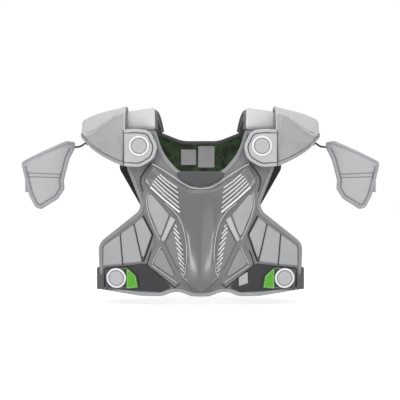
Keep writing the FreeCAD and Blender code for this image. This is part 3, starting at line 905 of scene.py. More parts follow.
@dataclass(frozen=True)
class Finish:
    """How one material looks.

    Args:
        slot: the record's material slot; it is not used.
        shade: sRGB colour.
        second: sRGB colour of its darker patches.
        roughness: roughness of the surface.
        texture: its close-up texture.
        pitch: size of the texture's threads or grains, in metres.
        relief: strength of the texture's bump.
        patches: number of patches in a metre.
        contrast: how sharply the patches differ.
        sheen: share of soft fabric sheen.
        coat: share of clear gloss over it.
    """

    slot: str
    shade: Colour
    second: Colour
    roughness: float = 0.8
    texture: Texture = Texture.GRAIN
    pitch: float = 0.0012
    relief: float = 0.15
    patches: float = 30.0
    contrast: float = 1.0
    sheen: float = 0.1
    coat: float = 0.0

    def material(self, name: str, groups: "Groups") -> Material:
        """Builds the finish as a material.

        Args:
            name: the material's name.
            groups: the shared shader groups.

        Returns:
            The material.
        """
        made = bpy.data.materials.new(name)
        made.use_nodes = True
        nodes, links = made.node_tree.nodes, made.node_tree.links
        shader = nodes["Principled BSDF"]
        shader.inputs["Roughness"].default_value = self.roughness
        shader.inputs["Sheen Weight"].default_value = self.sheen
        shader.inputs["Sheen Roughness"].default_value = 0.5
        shader.inputs["Coat Weight"].default_value = self.coat
        shader.inputs["Coat Roughness"].default_value = 0.22
        patches = nodes.new("ShaderNodeGroup")
        patches.node_tree = groups.mottle.tree
        patches.inputs["Scale"].default_value = self.patches
        patches.inputs["Contrast"].default_value = self.contrast
        mix = nodes.new("ShaderNodeMix")
        mix.data_type = "RGBA"
        colours = [socket for socket in mix.inputs if socket.type == "RGBA"]
        colours[0].default_value = linear(*self.second)
        colours[1].default_value = linear(*self.shade)
        links.new(patches.outputs[0], mix.inputs["Factor"])
        links.new(next(s for s in mix.outputs if s.type == "RGBA"), shader.inputs["Base Color"])
        if self.texture is Texture.SMOOTH:
            return made
        bump = nodes.new("ShaderNodeBump")
        bump.inputs["Strength"].default_value = self.relief
        bump.inputs["Distance"].default_value = 0.4 * MM
        height = nodes.new("ShaderNodeGroup")
        if self.texture is Texture.WEAVE:
            height.node_tree = groups.weave.tree
            height.inputs["Pitch"].default_value = self.pitch
        else:
            height.node_tree = groups.mottle.tree
            height.inputs["Scale"].default_value = 1 / self.pitch
        links.new(height.outputs[0], bump.inputs["Height"])
        links.new(bump.outputs[0], shader.inputs["Normal"])
        return made


class Groups:
    """The shared shader groups."""

    def __init__(self) -> None:
        """Builds them."""
        self.mottle = Mottle()
        self.weave = Weave()


FINISHES = {
    "panel": Finish("panel_fabric", (134, 134, 136), (124, 124, 126), texture=Texture.WEAVE, pitch=0.0016),
    "binding": Finish("binding_tape", (150, 150, 151), (136, 136, 138), texture=Texture.WEAVE),
    # pale tape; on the yoke's arm edge the paleness is painted light against the cap's shade
    "pale_binding": Finish("binding_tape", (172, 172, 175), (160, 160, 163), texture=Texture.WEAVE),
    # near-black strips laid in grooves and recesses: painted shade
    "black": Finish("binding_tape", (34, 34, 36), (28, 28, 30), texture=Texture.WEAVE),
    # pale strips along the rolled edges of the plate and the guard: painted highlights
    "rim": Finish("dark_moulded_plastic", (196, 196, 198), (188, 188, 190), 0.45, Texture.SMOOTH),
    "dark_binding": Finish("binding_tape", (100, 100, 102), (88, 88, 90), texture=Texture.WEAVE),
    "liner": Finish("liner_mesh", (62, 84, 52), (34, 40, 30), 0.9, Texture.WEAVE, 0.003, 0.6, 60.0, 5.0),
    "dark_textile": Finish("dark_textile", (64, 64, 66), (54, 54, 56), 0.9, Texture.WEAVE, 0.0014, 0.3),
    "light_foam": Finish("light_moulded_foam", (194, 194, 196), (184, 184, 187), 0.62, relief=0.05),
    # the yoke strap's foam colour; on the cap's ridge tubes it is a painted highlight
    "strap_foam": Finish("light_moulded_foam", (212, 212, 214), (203, 203, 206), 0.62, relief=0.05),
    "arm_foam": Finish("light_moulded_foam", (184, 184, 187), (175, 175, 178), 0.62, relief=0.05),
    # darker strips and tubes laid in creases and grooves: painted shade
    "fold": Finish("binding_tape", (132, 132, 135), (122, 122, 125), 0.85, Texture.WEAVE),
    # darker copy of the cap foam for its lower facets: partly a darker tone, partly painted shade where they
    # face down
    "cap_side": Finish("light_moulded_foam", (168, 168, 170), (158, 158, 161), 0.62, relief=0.05),
    "dark_foam": Finish("dark_moulded_plastic", (92, 92, 94), (86, 86, 88), 0.36,
                        relief=0.04, sheen=0.0, coat=1.0),
    "plate": Finish("dark_moulded_plastic", (122, 122, 124), (114, 114, 116), 0.62, relief=0.1),
    "knit": Finish("light_knit", (178, 178, 180), (166, 166, 169), 0.85, Texture.WEAVE, 0.0015, 0.25),
    "shade_knit": Finish("light_knit", (154, 155, 157), (144, 145, 148), 0.85, Texture.WEAVE, 0.0015, 0.25),
    "foam": Finish("foam_lining", (88, 89, 91), (76, 77, 79), 0.9, Texture.WEAVE, 0.002, 0.4),
    "badge_ring": Finish("rubber_badge", (244, 244, 245), (236, 236, 238), 0.45, Texture.SMOOTH),
    "badge_disc": Finish("rubber_badge", (190, 190, 192), (182, 182, 185), 0.5, Texture.SMOOTH),
    "badge_well": Finish("rubber_badge", (132, 132, 135), (124, 124, 127), 0.6, Texture.SMOOTH),
    "bar": Finish("light_knit", (194, 194, 196), (186, 186, 189), 0.8, Texture.WEAVE, 0.0015, 0.2),
    "seam": Finish("binding_tape", (104, 104, 107), (94, 94, 97), 0.85, Texture.WEAVE),
    "hem": Finish("binding_tape", (176, 176, 178), (164, 164, 166), texture=Texture.WEAVE),
    "thread": Finish("binding_tape", (206, 206, 208), (200, 200, 202), 0.7, Texture.SMOOTH),
    "green": Finish("green_rubber", (88, 170, 24), (74, 156, 14), 0.55, relief=0.1),
    "webbing": Finish("elastic_webbing", (94, 94, 97), (82, 82, 85), 0.85, Texture.WEAVE, 0.0022, 0.5),
    "light_webbing": Finish("elastic_webbing", (172, 172, 175), (158, 158, 161), 0.85,
                            Texture.WEAVE, 0.002, 0.5),
    "cord": Finish("shock_cord", (24, 24, 26), (16, 16, 18), 0.7, Texture.WEAVE, 0.0009, 0.5),
    "label": Finish("label_satin", (184, 184, 186), (176, 176, 178), 0.5, Texture.WEAVE, 0.0008, 0.1),
    "stripe": Finish("light_knit", (247, 247, 248), (240, 240, 242), 0.6, Texture.SMOOTH),
}


@dataclass
class Workshop:
    """What every sub-assembly needs: the materials, the trees and the naming of the two sides."""

    groups: Groups
    stitches: StitchTree
    rows: RowTree
    materials: dict[str, Material]

    @classmethod
    def open(cls) -> "Workshop":
        """Builds the groups, the trees and every material.

        Returns:
            A workshop that is ready for use.
        """
        groups = Groups()
        made = {key: finish.material(key, groups) for key, finish in FINISHES.items()}
        return cls(groups, StitchTree(), RowTree(), made)

    def finish(self, obj: Piece, key: str, body: str,
               nodes: Sequence[str] = ()) -> Piece:
        """Gives a piece its finish, its body and the CAD nodes that it stands for.

        Args:
            obj: the piece.
            key: its finish, for a piece that has no material yet.
            body: the body it rides on.
            nodes: the CAD nodes.

        Returns:
            The piece.
        """
        if not obj.data.materials:
            obj.data.materials.append(self.materials[key])
        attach(obj, body)
        if nodes:
            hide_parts(*nodes)
        LOG.info("%s rides on %s", obj.name, body)
        return obj

    def sew(self, name: str, lines: Sequence[Array], closed: bool = False,
            body: str = "harness") -> Piece:
        """Sews a row of stitches along row-frame lines in mm."""
        return self.finish(self.stitches.sew(name, lines, self.materials["thread"], closed), "thread", body)

    def sew_both(self, name: str, lines: Sequence[Array], closed: bool = False, body: str = "") -> None:
        """Sews on both sides; the name starts with left_."""
        self.both(self.stitches.sew(name, lines, self.materials["thread"], closed), "thread", body)

    def both(self, left: Piece, key: str, body: str = "", nodes: Sequence[str] = (),
             fill: Optional[float] = None) -> None:
        """Finishes a left-hand piece and its mirror image on the right.

        Args:
            left: the left-hand piece, whose name starts with left_.
            key: its finish.
            body: body name without its side, or nothing for the harness.
            nodes: node names without their sides.
            fill: how full a padded piece is, if it is one; it is not used.
        """
        right = mirrored(left, left.name.replace("left_", "right_", 1))
        for side, obj in (("left_", left), ("right_", right)):
            self.finish(obj, key, side + body if body else "harness", [side + n for n in nodes])


# ------------------------------------------------------------------ camera, light and floor
@dataclass(frozen=True)
class Lamp:
    """Soft square lamp: its place and side in metres, and its power in watts."""

    name: str
    place: Place
    side: float
    power: float


@dataclass
class Studio:
    """Camera, soft lights and a pale floor."""

    aim: Place = (-0.001, -0.08, -0.184)
    distance: float = 2.8
    elevation: float = 1.0
    width: float = 0.84
    sensor: float = 0.036
    floor_z: float = -0.405
    floor_reach: float = 6.0
    floor_glow: float = 0.6
    soft_light: float = 0.38
    lamps: tuple[Lamp, ...] = (
        Lamp("key_light", (-0.9, -2.2, 1.7), 1.6, 17.5),
        Lamp("fill_light", (1.4, -2.0, 0.5), 1.8, 9.0),
        Lamp("top_light", (0.0, -0.2, 1.9), 1.4, 20.0),
        Lamp("left_light", (-2.0, -1.3, -0.1), 0.55, 12.0),
        Lamp("right_light", (2.0, -1.3, -0.1), 0.55, 9.0),
    )

    def build(self) -> None:
        """Makes everything in the studio."""
        bpy.context.scene.view_settings.view_transform = "Standard"
        self.camera()
        self.world()
        self.floor()
        for lamp in self.lamps:
            self.hang(lamp)

    def camera(self) -> None:
        """Places the camera in front of the chest."""
        data = bpy.data.cameras.new("camera")
        data.sensor_width = 1000 * self.sensor
        data.lens = 1000 * self.sensor * self.distance / self.width
        data.clip_start, data.clip_end = 0.1, 20
        eye = placed("camera", data)
        tilt = math.radians(self.elevation)
        target = Vector(self.aim)
        eye.location = target + self.distance * Vector((0, -math.cos(tilt), math.sin(tilt)))
        eye.rotation_euler = (target - eye.location).to_track_quat("-Z", "Y").to_euler()
        bpy.context.scene.camera = eye

    def world(self) -> None:
        """White surroundings for the camera and for reflections, softer ones for the light."""
        world = bpy.data.worlds.new("surroundings")
        bpy.context.scene.world = world
        world.use_nodes = True
        nodes, links = world.node_tree.nodes, world.node_tree.links
        nodes.clear()
        path, out = nodes.new("ShaderNodeLightPath"), nodes.new("ShaderNodeOutputWorld")
        soft, white = nodes.new("ShaderNodeBackground"), nodes.new("ShaderNodeBackground")
        soft.inputs["Color"].default_value = (1, 1, 1, 1)
        soft.inputs["Strength"].default_value = self.soft_light
        white.inputs["Color"].default_value = (1, 1, 1, 1)
        mix = nodes.new("ShaderNodeMixShader")
        links.new(self.shows_background(nodes, links, path), mix.inputs[0])
        links.new(soft.outputs[0], mix.inputs[1])
        links.new(white.outputs[0], mix.inputs[2])
        links.new(mix.outputs[0], out.inputs["Surface"])

    @staticmethod
    def shows_background(nodes: bpy.types.Nodes, links: bpy.types.NodeLinks,
                         path: bpy.types.Node) -> Socket:
        """One for a ray that sees the white surroundings: from the camera, a gloss or a clear piece.

        Args:
            nodes: nodes of the world or of a material.
            links: their links.
            path: their Light Path node.

        Returns:
            Socket that is 1 for such a ray and 0 for others.
        """
        total = path.outputs["Is Camera Ray"]
        for kind in ("Is Glossy Ray", "Is Transmission Ray"):
            larger = nodes.new("ShaderNodeMath")
            larger.operation = "MAXIMUM"
            links.new(total, larger.inputs[0])
            links.new(path.outputs[kind], larger.inputs[1])
            total = larger.outputs[0]
        return total

    def floor(self) -> None:
        """Pale floor under the object that keeps its shadow."""
        mesh = bpy.data.meshes.new("floor")
        reach = self.floor_reach
        corners = [(x * reach, y * reach, self.floor_z) for x, y in ((-1, -1), (1, -1), (1, 1), (-1, 1))]
        mesh.from_pydata(corners, [], [(0, 1, 2, 3)])
        material = bpy.data.materials.new("floor")
        material.use_nodes = True
        nodes, links = material.node_tree.nodes, material.node_tree.links
        shader = nodes["Principled BSDF"]
        shader.inputs["Base Color"].default_value = (0.9, 0.9, 0.9, 1)
        shader.inputs["Roughness"].default_value = 1.0
        shader.inputs["Emission Color"].default_value = (1, 1, 1, 1)
        seen = nodes.new("ShaderNodeLightPath")
        glow = nodes.new("ShaderNodeMath")
        glow.operation = "MULTIPLY"
        glow.inputs[1].default_value = self.floor_glow
        links.new(self.shows_background(nodes, links, seen), glow.inputs[0])
        links.new(glow.outputs[0], shader.inputs["Emission Strength"])
        mesh.materials.append(material)
        placed("floor", mesh)

    def hang(self, lamp: Lamp) -> None:
        """Makes a lamp that faces the chest.

        Args:
            lamp: its place, size and power.
        """
        data = bpy.data.lights.new(lamp.name, "AREA")
        data.shape = "SQUARE"
        data.size, data.energy = lamp.side, lamp.power
        made = placed(lamp.name, data)
        made.location = lamp.place
        made.rotation_euler = (Vector(self.aim) - Vector(lamp.place)).to_track_quat("-Z", "Y").to_euler()


# ------------------------------------------------------------------ cords
@dataclass
class ShockCord:
    """Elastic cord with a knot at each end, from a cap to its arm pad."""

    route: tuple[Pair, ...] = ((-0.2355, -0.0603), (-0.2460, -0.0623), (-0.2560, -0.0703),
                                              (-0.2660, -0.0718), (-0.2760, -0.0713))
    y: float = -0.020
    radius: float = 0.002
    knot: float = 4.5
    length: float = 0.0432

    def build(self, shop: Workshop) -> None:
        """Makes the cords and their knots on both sides.

        Args:
            shop: materials and trees.
        """
        for side, sign in (("left", 1.0), ("right", -1.0)):
            points = [(sign * x, self.y, z) for x, z in self.route]
            cord = self.line(side + "_shock_cord", points)
            shop.finish(cord, "cord", side + "_arm_pad", [side + "_elastic_cord"])
            knots = [self.knot_at("%s_knot_%d" % (side, i), p) for i, p in enumerate((points[0], points[-1]))]
            for knot in knots:
                shop.finish(knot, "cord", side + "_arm_pad")

    def line(self, name: str, points: Sequence[Place]) -> Piece:
        """The cord's centreline as a round curve.

        Args:
            name: the cord's name.
            points: its route in metres.

        Returns:
            The curve object.
        """
        curve = bpy.data.curves.new(name, "CURVE")
        curve.dimensions = "3D"
        curve.bevel_depth = self.radius
        curve.bevel_resolution = 4
        curve.resolution_u = 12
        spline = curve.splines.new("NURBS")
        spline.points.add(len(points) - 1)
        for point, place in zip(spline.points, points):
            point.co = (*place, 1.0)
        spline.order_u = 3
        spline.use_endpoint_u = True
        return placed(name, curve)

    def knot_at(self, name: str, place: Place) -> Piece:
        """Overhand knot, as a lumpy coil.

        Args:
            name: the knot's name.
            place: its middle in metres.

        Returns:
            The new object.
        """
        turns = np.linspace(0, 2 * math.pi, 48, endpoint=False)
        wide = self.knot - self.radius / MM
        coil = np.column_stack([wide * np.sin(turns) + 0.3 * wide * np.sin(2 * turns),
                                wide * 0.8 * np.cos(turns) - 0.5 * wide * np.cos(2 * turns),
                                -0.55 * wide * np.sin(3 * turns)]) * 0.8
        return tube_along(name, coil + np.array(place) / MM, self.radius / MM, closed=True)


# ------------------------------------------------------------------ badges
@dataclass
class Badge:
    """Round rubber badge: a raised ring round a disc that carries a plain ring pattern."""

    radius: float = 21.0
    ring: float = 4.0
    gap: float = 2.0
    step: float = 0.8
    thick: float = 3.0
    sides: int = 64

    def build(self, shop: Workshop, name: str, surface: Surface, centre: Pair, seat: float,
              body: str, node: str) -> None:
        """Makes the badge on both sides.

        Args:
            shop: materials and trees.
            name: piece name without its side.
            surface: what the badge is fastened to.
            centre: (x, z) of its middle.
            seat: depth of its back face.
            body: body name without its side.
            node: node name without its side.
        """
        face = seat + self.thick
        well = face - self.step
        inner = self.radius - self.ring
        edge = inner - self.gap
        disc = [(0.0, well), (3.0, well), (3.4, well + 0.4), (5.4, well + 0.4), (5.8, well),
                (edge - 2.6, well), (edge - 2.2, well + 0.35), (edge - 0.6, well + 0.35), (edge, well - 0.2),
                (edge, seat + 0.4), (0.0, seat + 0.4)]
        ditch = [(edge, seat + 0.4), (edge, well - 0.5), (inner + 0.2, well - 0.5), (inner + 0.2, seat + 0.4)]
        rim = [(inner, seat), (inner, face - 0.5), (inner + 0.6, face), (self.radius - 1.0, face),
               (self.radius, face - 1.0), (self.radius, seat)]
        left = "left_%s_" % name
        shop.both(self.turned(left + "disc", disc, surface, centre), "badge_disc", body)
        shop.both(self.turned(left + "ditch", ditch, surface, centre, ring=True), "badge_well", body)
        shop.both(self.turned(left + "ring", rim, surface, centre, ring=True), "badge_ring", body, [node])

    def turned(self, name: str, profile: Sequence[Pair], surface: Surface,
               centre: Pair, ring: bool = False) -> Piece:
        """Turns a profile about the badge's middle and lays it on the surface.

        Args:
            name: the piece's name.
            profile: (radius, depth) points.
            surface: what the badge is fastened to.
            centre: (x, z) of its middle.
            ring: whether the profile runs back to its start.

        Returns:
            The new object.
        """
        turns = np.linspace(0, 2 * math.pi, self.sides, endpoint=False)
        circle = np.column_stack([np.cos(turns), np.sin(turns)])
        rings = np.stack([surface.over(np.array(centre) + circle * r, d) for r, d in profile], axis=1)
        if ring:
            return swept(name, rings, True)
        size, faces = len(profile), []
        for i in range(self.sides):
            faces += band(i * size, (i + 1) % self.sides * size, size, False)
        return to_object(name, rings.reshape(-1, 3), faces, 30.0)


def strips(name: str, lines: Sequence[Sequence[Pair]], widths: Sequence[float],
           surface: Surface, seat: Callable[[Array], Array],
           thick: float = 0.5) -> Piece:
    """Thin flat bands along lines of the frontal plane.

    Args:
        name: the piece's name.
        lines: (x, z) points of each line.
        widths: width of each band.
        surface: what they lie on.
        seat: depth of what is under them at (x, z) places.
        thick: thickness of the bands.

    Returns:
        The bands as one object.
    """
    points: list[Array] = []
    faces: list[list[int]] = []
    for line, width in zip(lines, widths):
        path = divided(np.array(line, float), 3.0, closed=False)
        along = np.gradient(path, axis=0)
        along /= np.maximum(np.linalg.norm(along, axis=1, keepdims=True), 1e-9)
        across = np.column_stack([-along[:, 1], along[:, 0]]) * width / 2
        first = sum(len(p) for p in points)
        rings = []
        for sign, share in ((-1, 0.0), (-1, 0.8), (-0.7, 1.0), (0.7, 1.0), (1, 0.8), (1, 0.0)):
            flat = path + sign * across
            rings.append(surface.at(flat, seat(flat) - 0.3 + share * (thick + 0.3)))
        block = np.stack(rings, axis=1)
        count, size = block.shape[:2]
        points.append(block.reshape(-1, 3))
        for i in range(count - 1):
            faces += band(first + i * size, first + (i + 1) * size, size)
        faces.append([first + k for k in range(size)][::-1])
        faces.append([first + (count - 1) * size + k for k in range(size)])
    return to_object(name, np.vstack(points), faces, 50.0)


# ------------------------------------------------------------------ chest
PANEL = both_sides([
    (0, -129, 0), (-42, -128, 45), (-79, -86, 110), (-94, SEAM_Z, 1),
    (-158, SEAM_Z, 1), (-157, -112, 70), (-121, -201, 24),
    (-216, -276, 30), (-213, -374, 5), (-126, -385, 80), (-80, -385, 40),
    (-50, -373, 40), (-18, -385, 60), (0, -385, 0)])
PLATE_EDGE = both_sides([
    (0, -160, 0), (-22, -160, 70), (-72, -134, 80), (-101, -105, 9),
    (-126, -141, 22), (-118, -206, 90), (-98, -253, 25), (-92, -281, 8),
    (-101, -290, 3), (-111, -318, 8), (-53, -365, 3), (-42, -356, 3),
    (-20, -372, 30), (0, -376, 0)])
GUARD_EDGE = both_sides([
    (0, -162, 0), (-22, -162, 70), (-73, -136, 80), (-101, -109, 8),
    (-122, -141, 20), (-106, -160, 12), (-50, -209, 45), (-30, -256, 90),
    (-28, -322, 60), (-37, -346, 4), (-18, -364, 14), (0, -373, 0)])
WINDOW = [(-108, -164, 5), (-111, -196, 70), (-83, -264, 4), (-65, -214, 6)]
LOWER_WINDOW = [(-81.5, -281, 4), (-98.5, -316, 5), (-49, -350, 4)]
INNER_WINDOW = [(-50, -228, 5), (-74, -272, 5), (-42, -338, 5), (-37, -300, 40)]
CROSS_BAR = [(-62, -217, 2), (-52, -224, 2), (-75.5, -270, 2), (-81.5, -266, 2)]
RIB_PADS = (
    [(-205, -323, 3), (-204, -281, 12), (-168.8, -256.2, 3), (-163.8, -319, 3)],
    [(-167, -254.8, 3), (-139.6, -235.4, 3), (-122, -312.6, 3), (-162, -318, 3)],
    [(-137.8, -234, 3), (-121, -219, 4), (-101.5, -256, 4), (-120.4, -310, 3)],
)
LANDING = [(-203, -327, 2), (-116, -316, 2), (-60, -366, 4), (-84, -376, 10),
           (-203, -371, 3)]
COLLAR_PAD = both_sides([(0, -124, 0), (-52, -124, 6), (-44, -140, 20),
                         (-20, -153, 30), (0, -155, 0)])
# (z, half width, height) of the keel over the guard's face
KEEL = ((-165.0, 20.0, 0.0), (-185.0, 24.0, 1.0), (-235.0, 28.0, 5.0), (-285.0, 31.0, 10.0),
        (-330.0, 33.0, 18.0), (-356.0, 34.0, 20.0), (-371.0, 28.0, 8.0), (-380.0, 14.0, 1.0),
        (-386.0, 10.0, 0.0))
# below this height the chest's binding is paler
HEM_Z = -371.0


@dataclass
class Chest:
    """Layered chest: foam panel, plate with its windows, sternum guard and rib pads."""

    shop: Workshop
    stripe_pitch: float = 10.5
    stripe_count: int = 11
    stripe_blank: float = 30.0

    def build(self) -> None:
        """Makes every layer."""
        self.panel()
        self.plate()
        self.windows()
        self.guard()
        self.stripes()
        self.flank_stripes()
        self.edge_highlight_and_shade()
        self.ribs()

    def panel(self) -> None:
        """Foam panel with its bound edge, liner and collar pad."""
        shop = self.shop
        edge = rounded(PANEL)
        core = shrunk(edge, 0.5 * BINDING_WIDTH)
        panel = Pad(core, 0, FOAM, edge=0.8, roll=2.0, step=6.0).lay("chest_panel", CHEST)
        shop.finish(panel, "panel", "harness", ["chest_foam_panel"])
        tape = edge_binding("chest_edge_binding", edge, CHEST, 0, FOAM, BINDING_WIDTH)
        painted(tape, shop.materials["binding"], shop.materials["hem"], lambda at: at[:, 2] < HEM_Z)
        shop.finish(tape, "binding", "harness", ["chest_binding"])
        shop.sew("chest_edge_stitches", [CHEST.over(shrunk(edge, 6.4), FOAM + 1.8)], True)
        liner = Pad(shrunk(edge, BINDING_WIDTH), -SEAT - LINER, LINER, edge=0.5, roll=1.0, step=7.0)
        shop.finish(liner.lay("chest_lining", CHEST), "liner", "harness", ["chest_liner"])
        collar = Pad(rounded(COLLAR_PAD), ON_FOAM, PLATE + 0.8, edge=0.3, roll=2.5, step=4.0)
        made = shop.finish(collar.lay("chest_collar_pad", CHEST), "foam", "harness", ["collar_pad"])

    def plate(self) -> None:
        """Plate that frames the windows."""
        holes = [rounded(w) for w in (WINDOW, LOWER_WINDOW, INNER_WINDOW)]
        holes += [np.column_stack([-h[:, 0], h[:, 1]])[::-1] for h in holes]
        plate = Pad(rounded(PLATE_EDGE), ON_FOAM, PLATE, edge=0.35, roll=2.2, step=4.0, holes=holes)
        self.shop.finish(plate.lay("chest_frame_plate", CHEST), "plate", "harness", ["chest_plate"])

    def windows(self) -> None:
        """Swollen pads in the plate's windows, and the bar between them."""
        shop = self.shop
        for name, outline, key in (("petal", WINDOW, "knit"), ("diamond", LOWER_WINDOW, "shade_knit"),
                                   ("flank", INNER_WINDOW, "panel")):
            pad = self.window_pad(outline).lay("left_%s_pad" % name, CHEST)
            shop.both(pad, key, "", ["chest_pads"] if name == "petal" else [], fill=0.8)
        bar = Pad(rounded(CROSS_BAR, 2.5), ON_PLATE, PLATE, edge=0.5, roll=1.0, step=2.5)
        shop.both(bar.lay("left_light_bar", CHEST), "bar", "", ["cross_bar"])

    @staticmethod
    def window_pad(outline: Sequence[Corner]) -> Pad:
        """Swollen pad that fills a window of the plate."""
        return Pad(rounded(outline), ON_FOAM, 4.4, edge=0.55, roll=1.6, crown=3.0, crown_reach=16.0, step=3.0)

    @staticmethod
    def keel(flat: Array, gap: Array) -> Array:
        """Height of the keel, its arms and its rims over the guard's face.

        Args:
            flat: (x, z) places.
            gap: their distances to the guard's outline.

        Returns:
            The heights.
        """
        x, z = np.abs(flat[:, 0]), -flat[:, 1]
        level, steps = [-k[0] for k in KEEL], np.arange(100.0, 450.0)
        ease = np.exp(-(np.arange(-24, 25) / 9.0) ** 2)
        half = np.interp(z, level, [k[1] for k in KEEL])
        heights = np.convolve(np.interp(steps, level, [k[2] for k in KEEL]), ease / ease.sum(), "same")
        height = np.interp(z, steps, heights)
        across = np.clip(x / half, 0, 0.99)
        keel = height * (1 - 0.85 * across ** 1.35 - 0.15 * np.sqrt(across ** 2 + 0.002))
        arm = 1.6 * np.exp(-((gap - 9) / 7) ** 2) * smooth_step((215 - z) / 30)
        rim = -1.0 * np.exp(-((gap - 3.6) / 1.1) ** 2)
        return keel + arm + rim

    def guard_face(self, flat: Array) -> Array:
        """Depth of the guard's face over (x, z) places."""
        return self.guard_pad().face_depth(flat)

    def guard_pad(self) -> Pad:
        """The sternum guard as a pad with its keel."""
        return Pad(rounded(GUARD_EDGE), ON_PLATE, GUARD, edge=0.25, roll=3.0, step=2.8, relief=self.keel)

    def guard(self) -> None:
        """Moulded guard over the breastbone."""
        guard = self.guard_pad().lay("breastbone_guard", CHEST)
        self.shop.finish(guard, "dark_foam", "harness", ["sternum_guard"])

    def stripes(self) -> None:
        """Two sets of pale stripes on each side of the guard."""
        left = ((-84.8, -130.0), (-89.5, -133.4), (-93.9, -138.6), (-97.2, -143.6), (-100.2, -149.3),
                (-104.2, -156.2))
        right = ((-48.3, -158.3), (-46.6, -168.6), (-46.2, -178.9), (-44.9, -189.2), (-43.9, -199.5),
                 (-43.3, -208.5))
        lines = [((a, b), (0.55 * a + 0.45 * c, 0.55 * b + 0.45 * d - 1.5), (c, d))
                 for (a, b), (c, d) in zip(left, right)]
        widths = [1.7] * 5 + [3.4]
        made = strips("left_upper_stripes", lines, widths, CHEST, self.guard_face)
        self.shop.both(made, "stripe")

    def flank_stripes(self) -> None:
        """Row of short slanting stripes beside the guard, each cut to its own length."""
        starts = np.array([
            (-53.4, -234.8), (-55.8, -240.4), (-55.4, -248.9), (-53.4, -260.1), (-51.2, -271.0),
            (-49.3, -281.8), (-47.3, -293.1), (-46.1, -302.0), (-44.5, -313.2),
            (-42.1, -323.7), (-38.9, -335.4)])
        ends = np.array([
            (-49.4, -239.6), (-44.1, -254.1), (-42.7, -263.7), (-39.3, -276.2), (-37.0, -287.9),
            (-35.7, -298.3), (-34.9, -307.6), (-33.3, -318.1), (-33.3, -325.7), (-34.4, -332.5),
            (-36.9, -339.4)])
        bar = strips("flank_bar", [((0.0, 0.0), (self.stripe_blank, 0.0))], [1.9], Plane(1, 0.0),
                     lambda flat: np.zeros(len(flat)), 0.5)
        row = self.shop.rows.run("left_flank_stripes", bar, self.shop.materials["stripe"],
                                 Pitch=-self.stripe_pitch * MM, Count=self.stripe_count)
        flank = self.window_pad(INNER_WINDOW)

        def shape(points: Array) -> Array:
            """Lays the row's points on the flank.

            Args:
                points: (n, 3) points of the flat row.

            Returns:
                The points in the row frame.
            """
            number = np.clip(np.rint(-points[:, 2] / self.stripe_pitch), 0, self.stripe_count - 1).astype(int)
            along = ends[number] - starts[number]
            unit = along / np.linalg.norm(along, axis=1, keepdims=True)
            across = np.column_stack([-unit[:, 1], unit[:, 0]])
            aside = across * (points[:, 2] + number * self.stripe_pitch)[:, None]
            flat = starts[number] + along * points[:, :1] / self.stripe_blank + aside
            under = np.where(is_inside(flat, flank.outline), flank.face_depth(flat), 0.0)
            return CHEST.at(flat, np.maximum(under, ON_FOAM + PLATE) + points[:, 1])

        self.shop.both(conformed(row, shape), "stripe")

    def edge_highlight_and_shade(self) -> None:
        """Pale strips that paint highlights on the rolled edges of the plate and the guard, and near-black
        strips that paint shade in grooves and recesses.
        """
        lines = (
            # pale strips on rolled edges: painted highlights
            ("left_guard_rim", "rim", 2.0, self.on_guard,
             [(-101.5, -108), (-82.5, -118.5), (-55, -136), (-38, -148.5), (-21, -157.5),
              (0, -160.5)]),
            ("left_guard_side_rim", "rim", 1.8, self.on_guard,
             [(-74, -190), (-55.5, -205.5), (-45, -220), (-37.6, -236), (-32.4, -256),
              (-29.4, -276), (-28.6, -296.5), (-29.6, -317), (-31.8, -332), (-36.4, -345)]),
            # near-black strips in the recess, under the plate's edge and between the rib pads: painted shade
            ("left_lobe_groove", "black", 2.4, self.on_plate,
             [(-97, -108), (-103, -107), (-115.5, -121), (-125.5, -137), (-125, -150),
              (-120, -166)]),
            ("left_petal_rim", "rim", 1.6, self.on_plate,
             [(-109, -168), (-112.4, -184), (-110.6, -202), (-105, -222), (-97, -241),
              (-84, -266.5)]),
            ("left_diamond_rim", "rim", 1.6, self.on_plate, [(-83.5, -281.5), (-100.4, -316)]),
            ("left_diamond_low_rim", "rim", 1.6, self.on_plate, [(-101, -320), (-50, -355)]),
            ("left_hook_groove", "black", 2.6, self.on_foam,
             [(-92.5, -288.5), (-101.5, -289.5), (-105.6, -298), (-111.6, -317.5), (-108.5, -323),
              (-54, -366), (-45, -359.5)]),
            ("left_rib_grooves_a", "black", 2.4, self.on_foam, [(-167.8, -254), (-163, -320)]),
            ("left_rib_grooves_b", "black", 2.4, self.on_foam, [(-138.6, -233.5), (-121.2, -313)]),
            ("left_rib_groove_c", "black", 3.4, self.on_foam,
             [(-119.8, -216), (-99.8, -255.5), (-111, -290), (-119, -311)]),
        )
        for name, key, width, seat, line in lines:
            self.shop.both(strips(name, [line], [width], CHEST, seat, 0.7), key)

    def on_guard(self, flat: Array) -> Array:
        """Depth of the guard's rolled edge."""
        return np.maximum(self.guard_face(flat), ON_PLATE + 0.75 * GUARD)

    @staticmethod
    def on_plate(flat: Array) -> Array:
        """Depth of the plate's face."""
        return np.full(len(flat), ON_FOAM + PLATE)

    @staticmethod
    def on_foam(flat: Array) -> Array:
        """Depth of the foam panel's face."""
        return np.full(len(flat), FOAM + 0.2)

    def ribs(self) -> None:
        """Rib pads, with the strip of loop pile under them."""
        shop = self.shop
        for number, outline in enumerate(RIB_PADS):
            pad = Pad(rounded(outline), ON_FOAM, RIB_PAD, edge=0.3, roll=4.0, crown=1.2, step=4.0)
            nodes = ["rib_pads"] if number == 0 else []
            shop.both(pad.lay("left_rib_pad_%d" % number, CHEST), "knit", "", nodes, fill=0.8)
        landing = Pad(rounded(LANDING), ON_FOAM, LOOP_PILE, edge=0.6, roll=1.0, step=5.0)
        shop.both(landing.lay("left_loop_strip", CHEST), "dark_textile", "", ["loop_landing"])


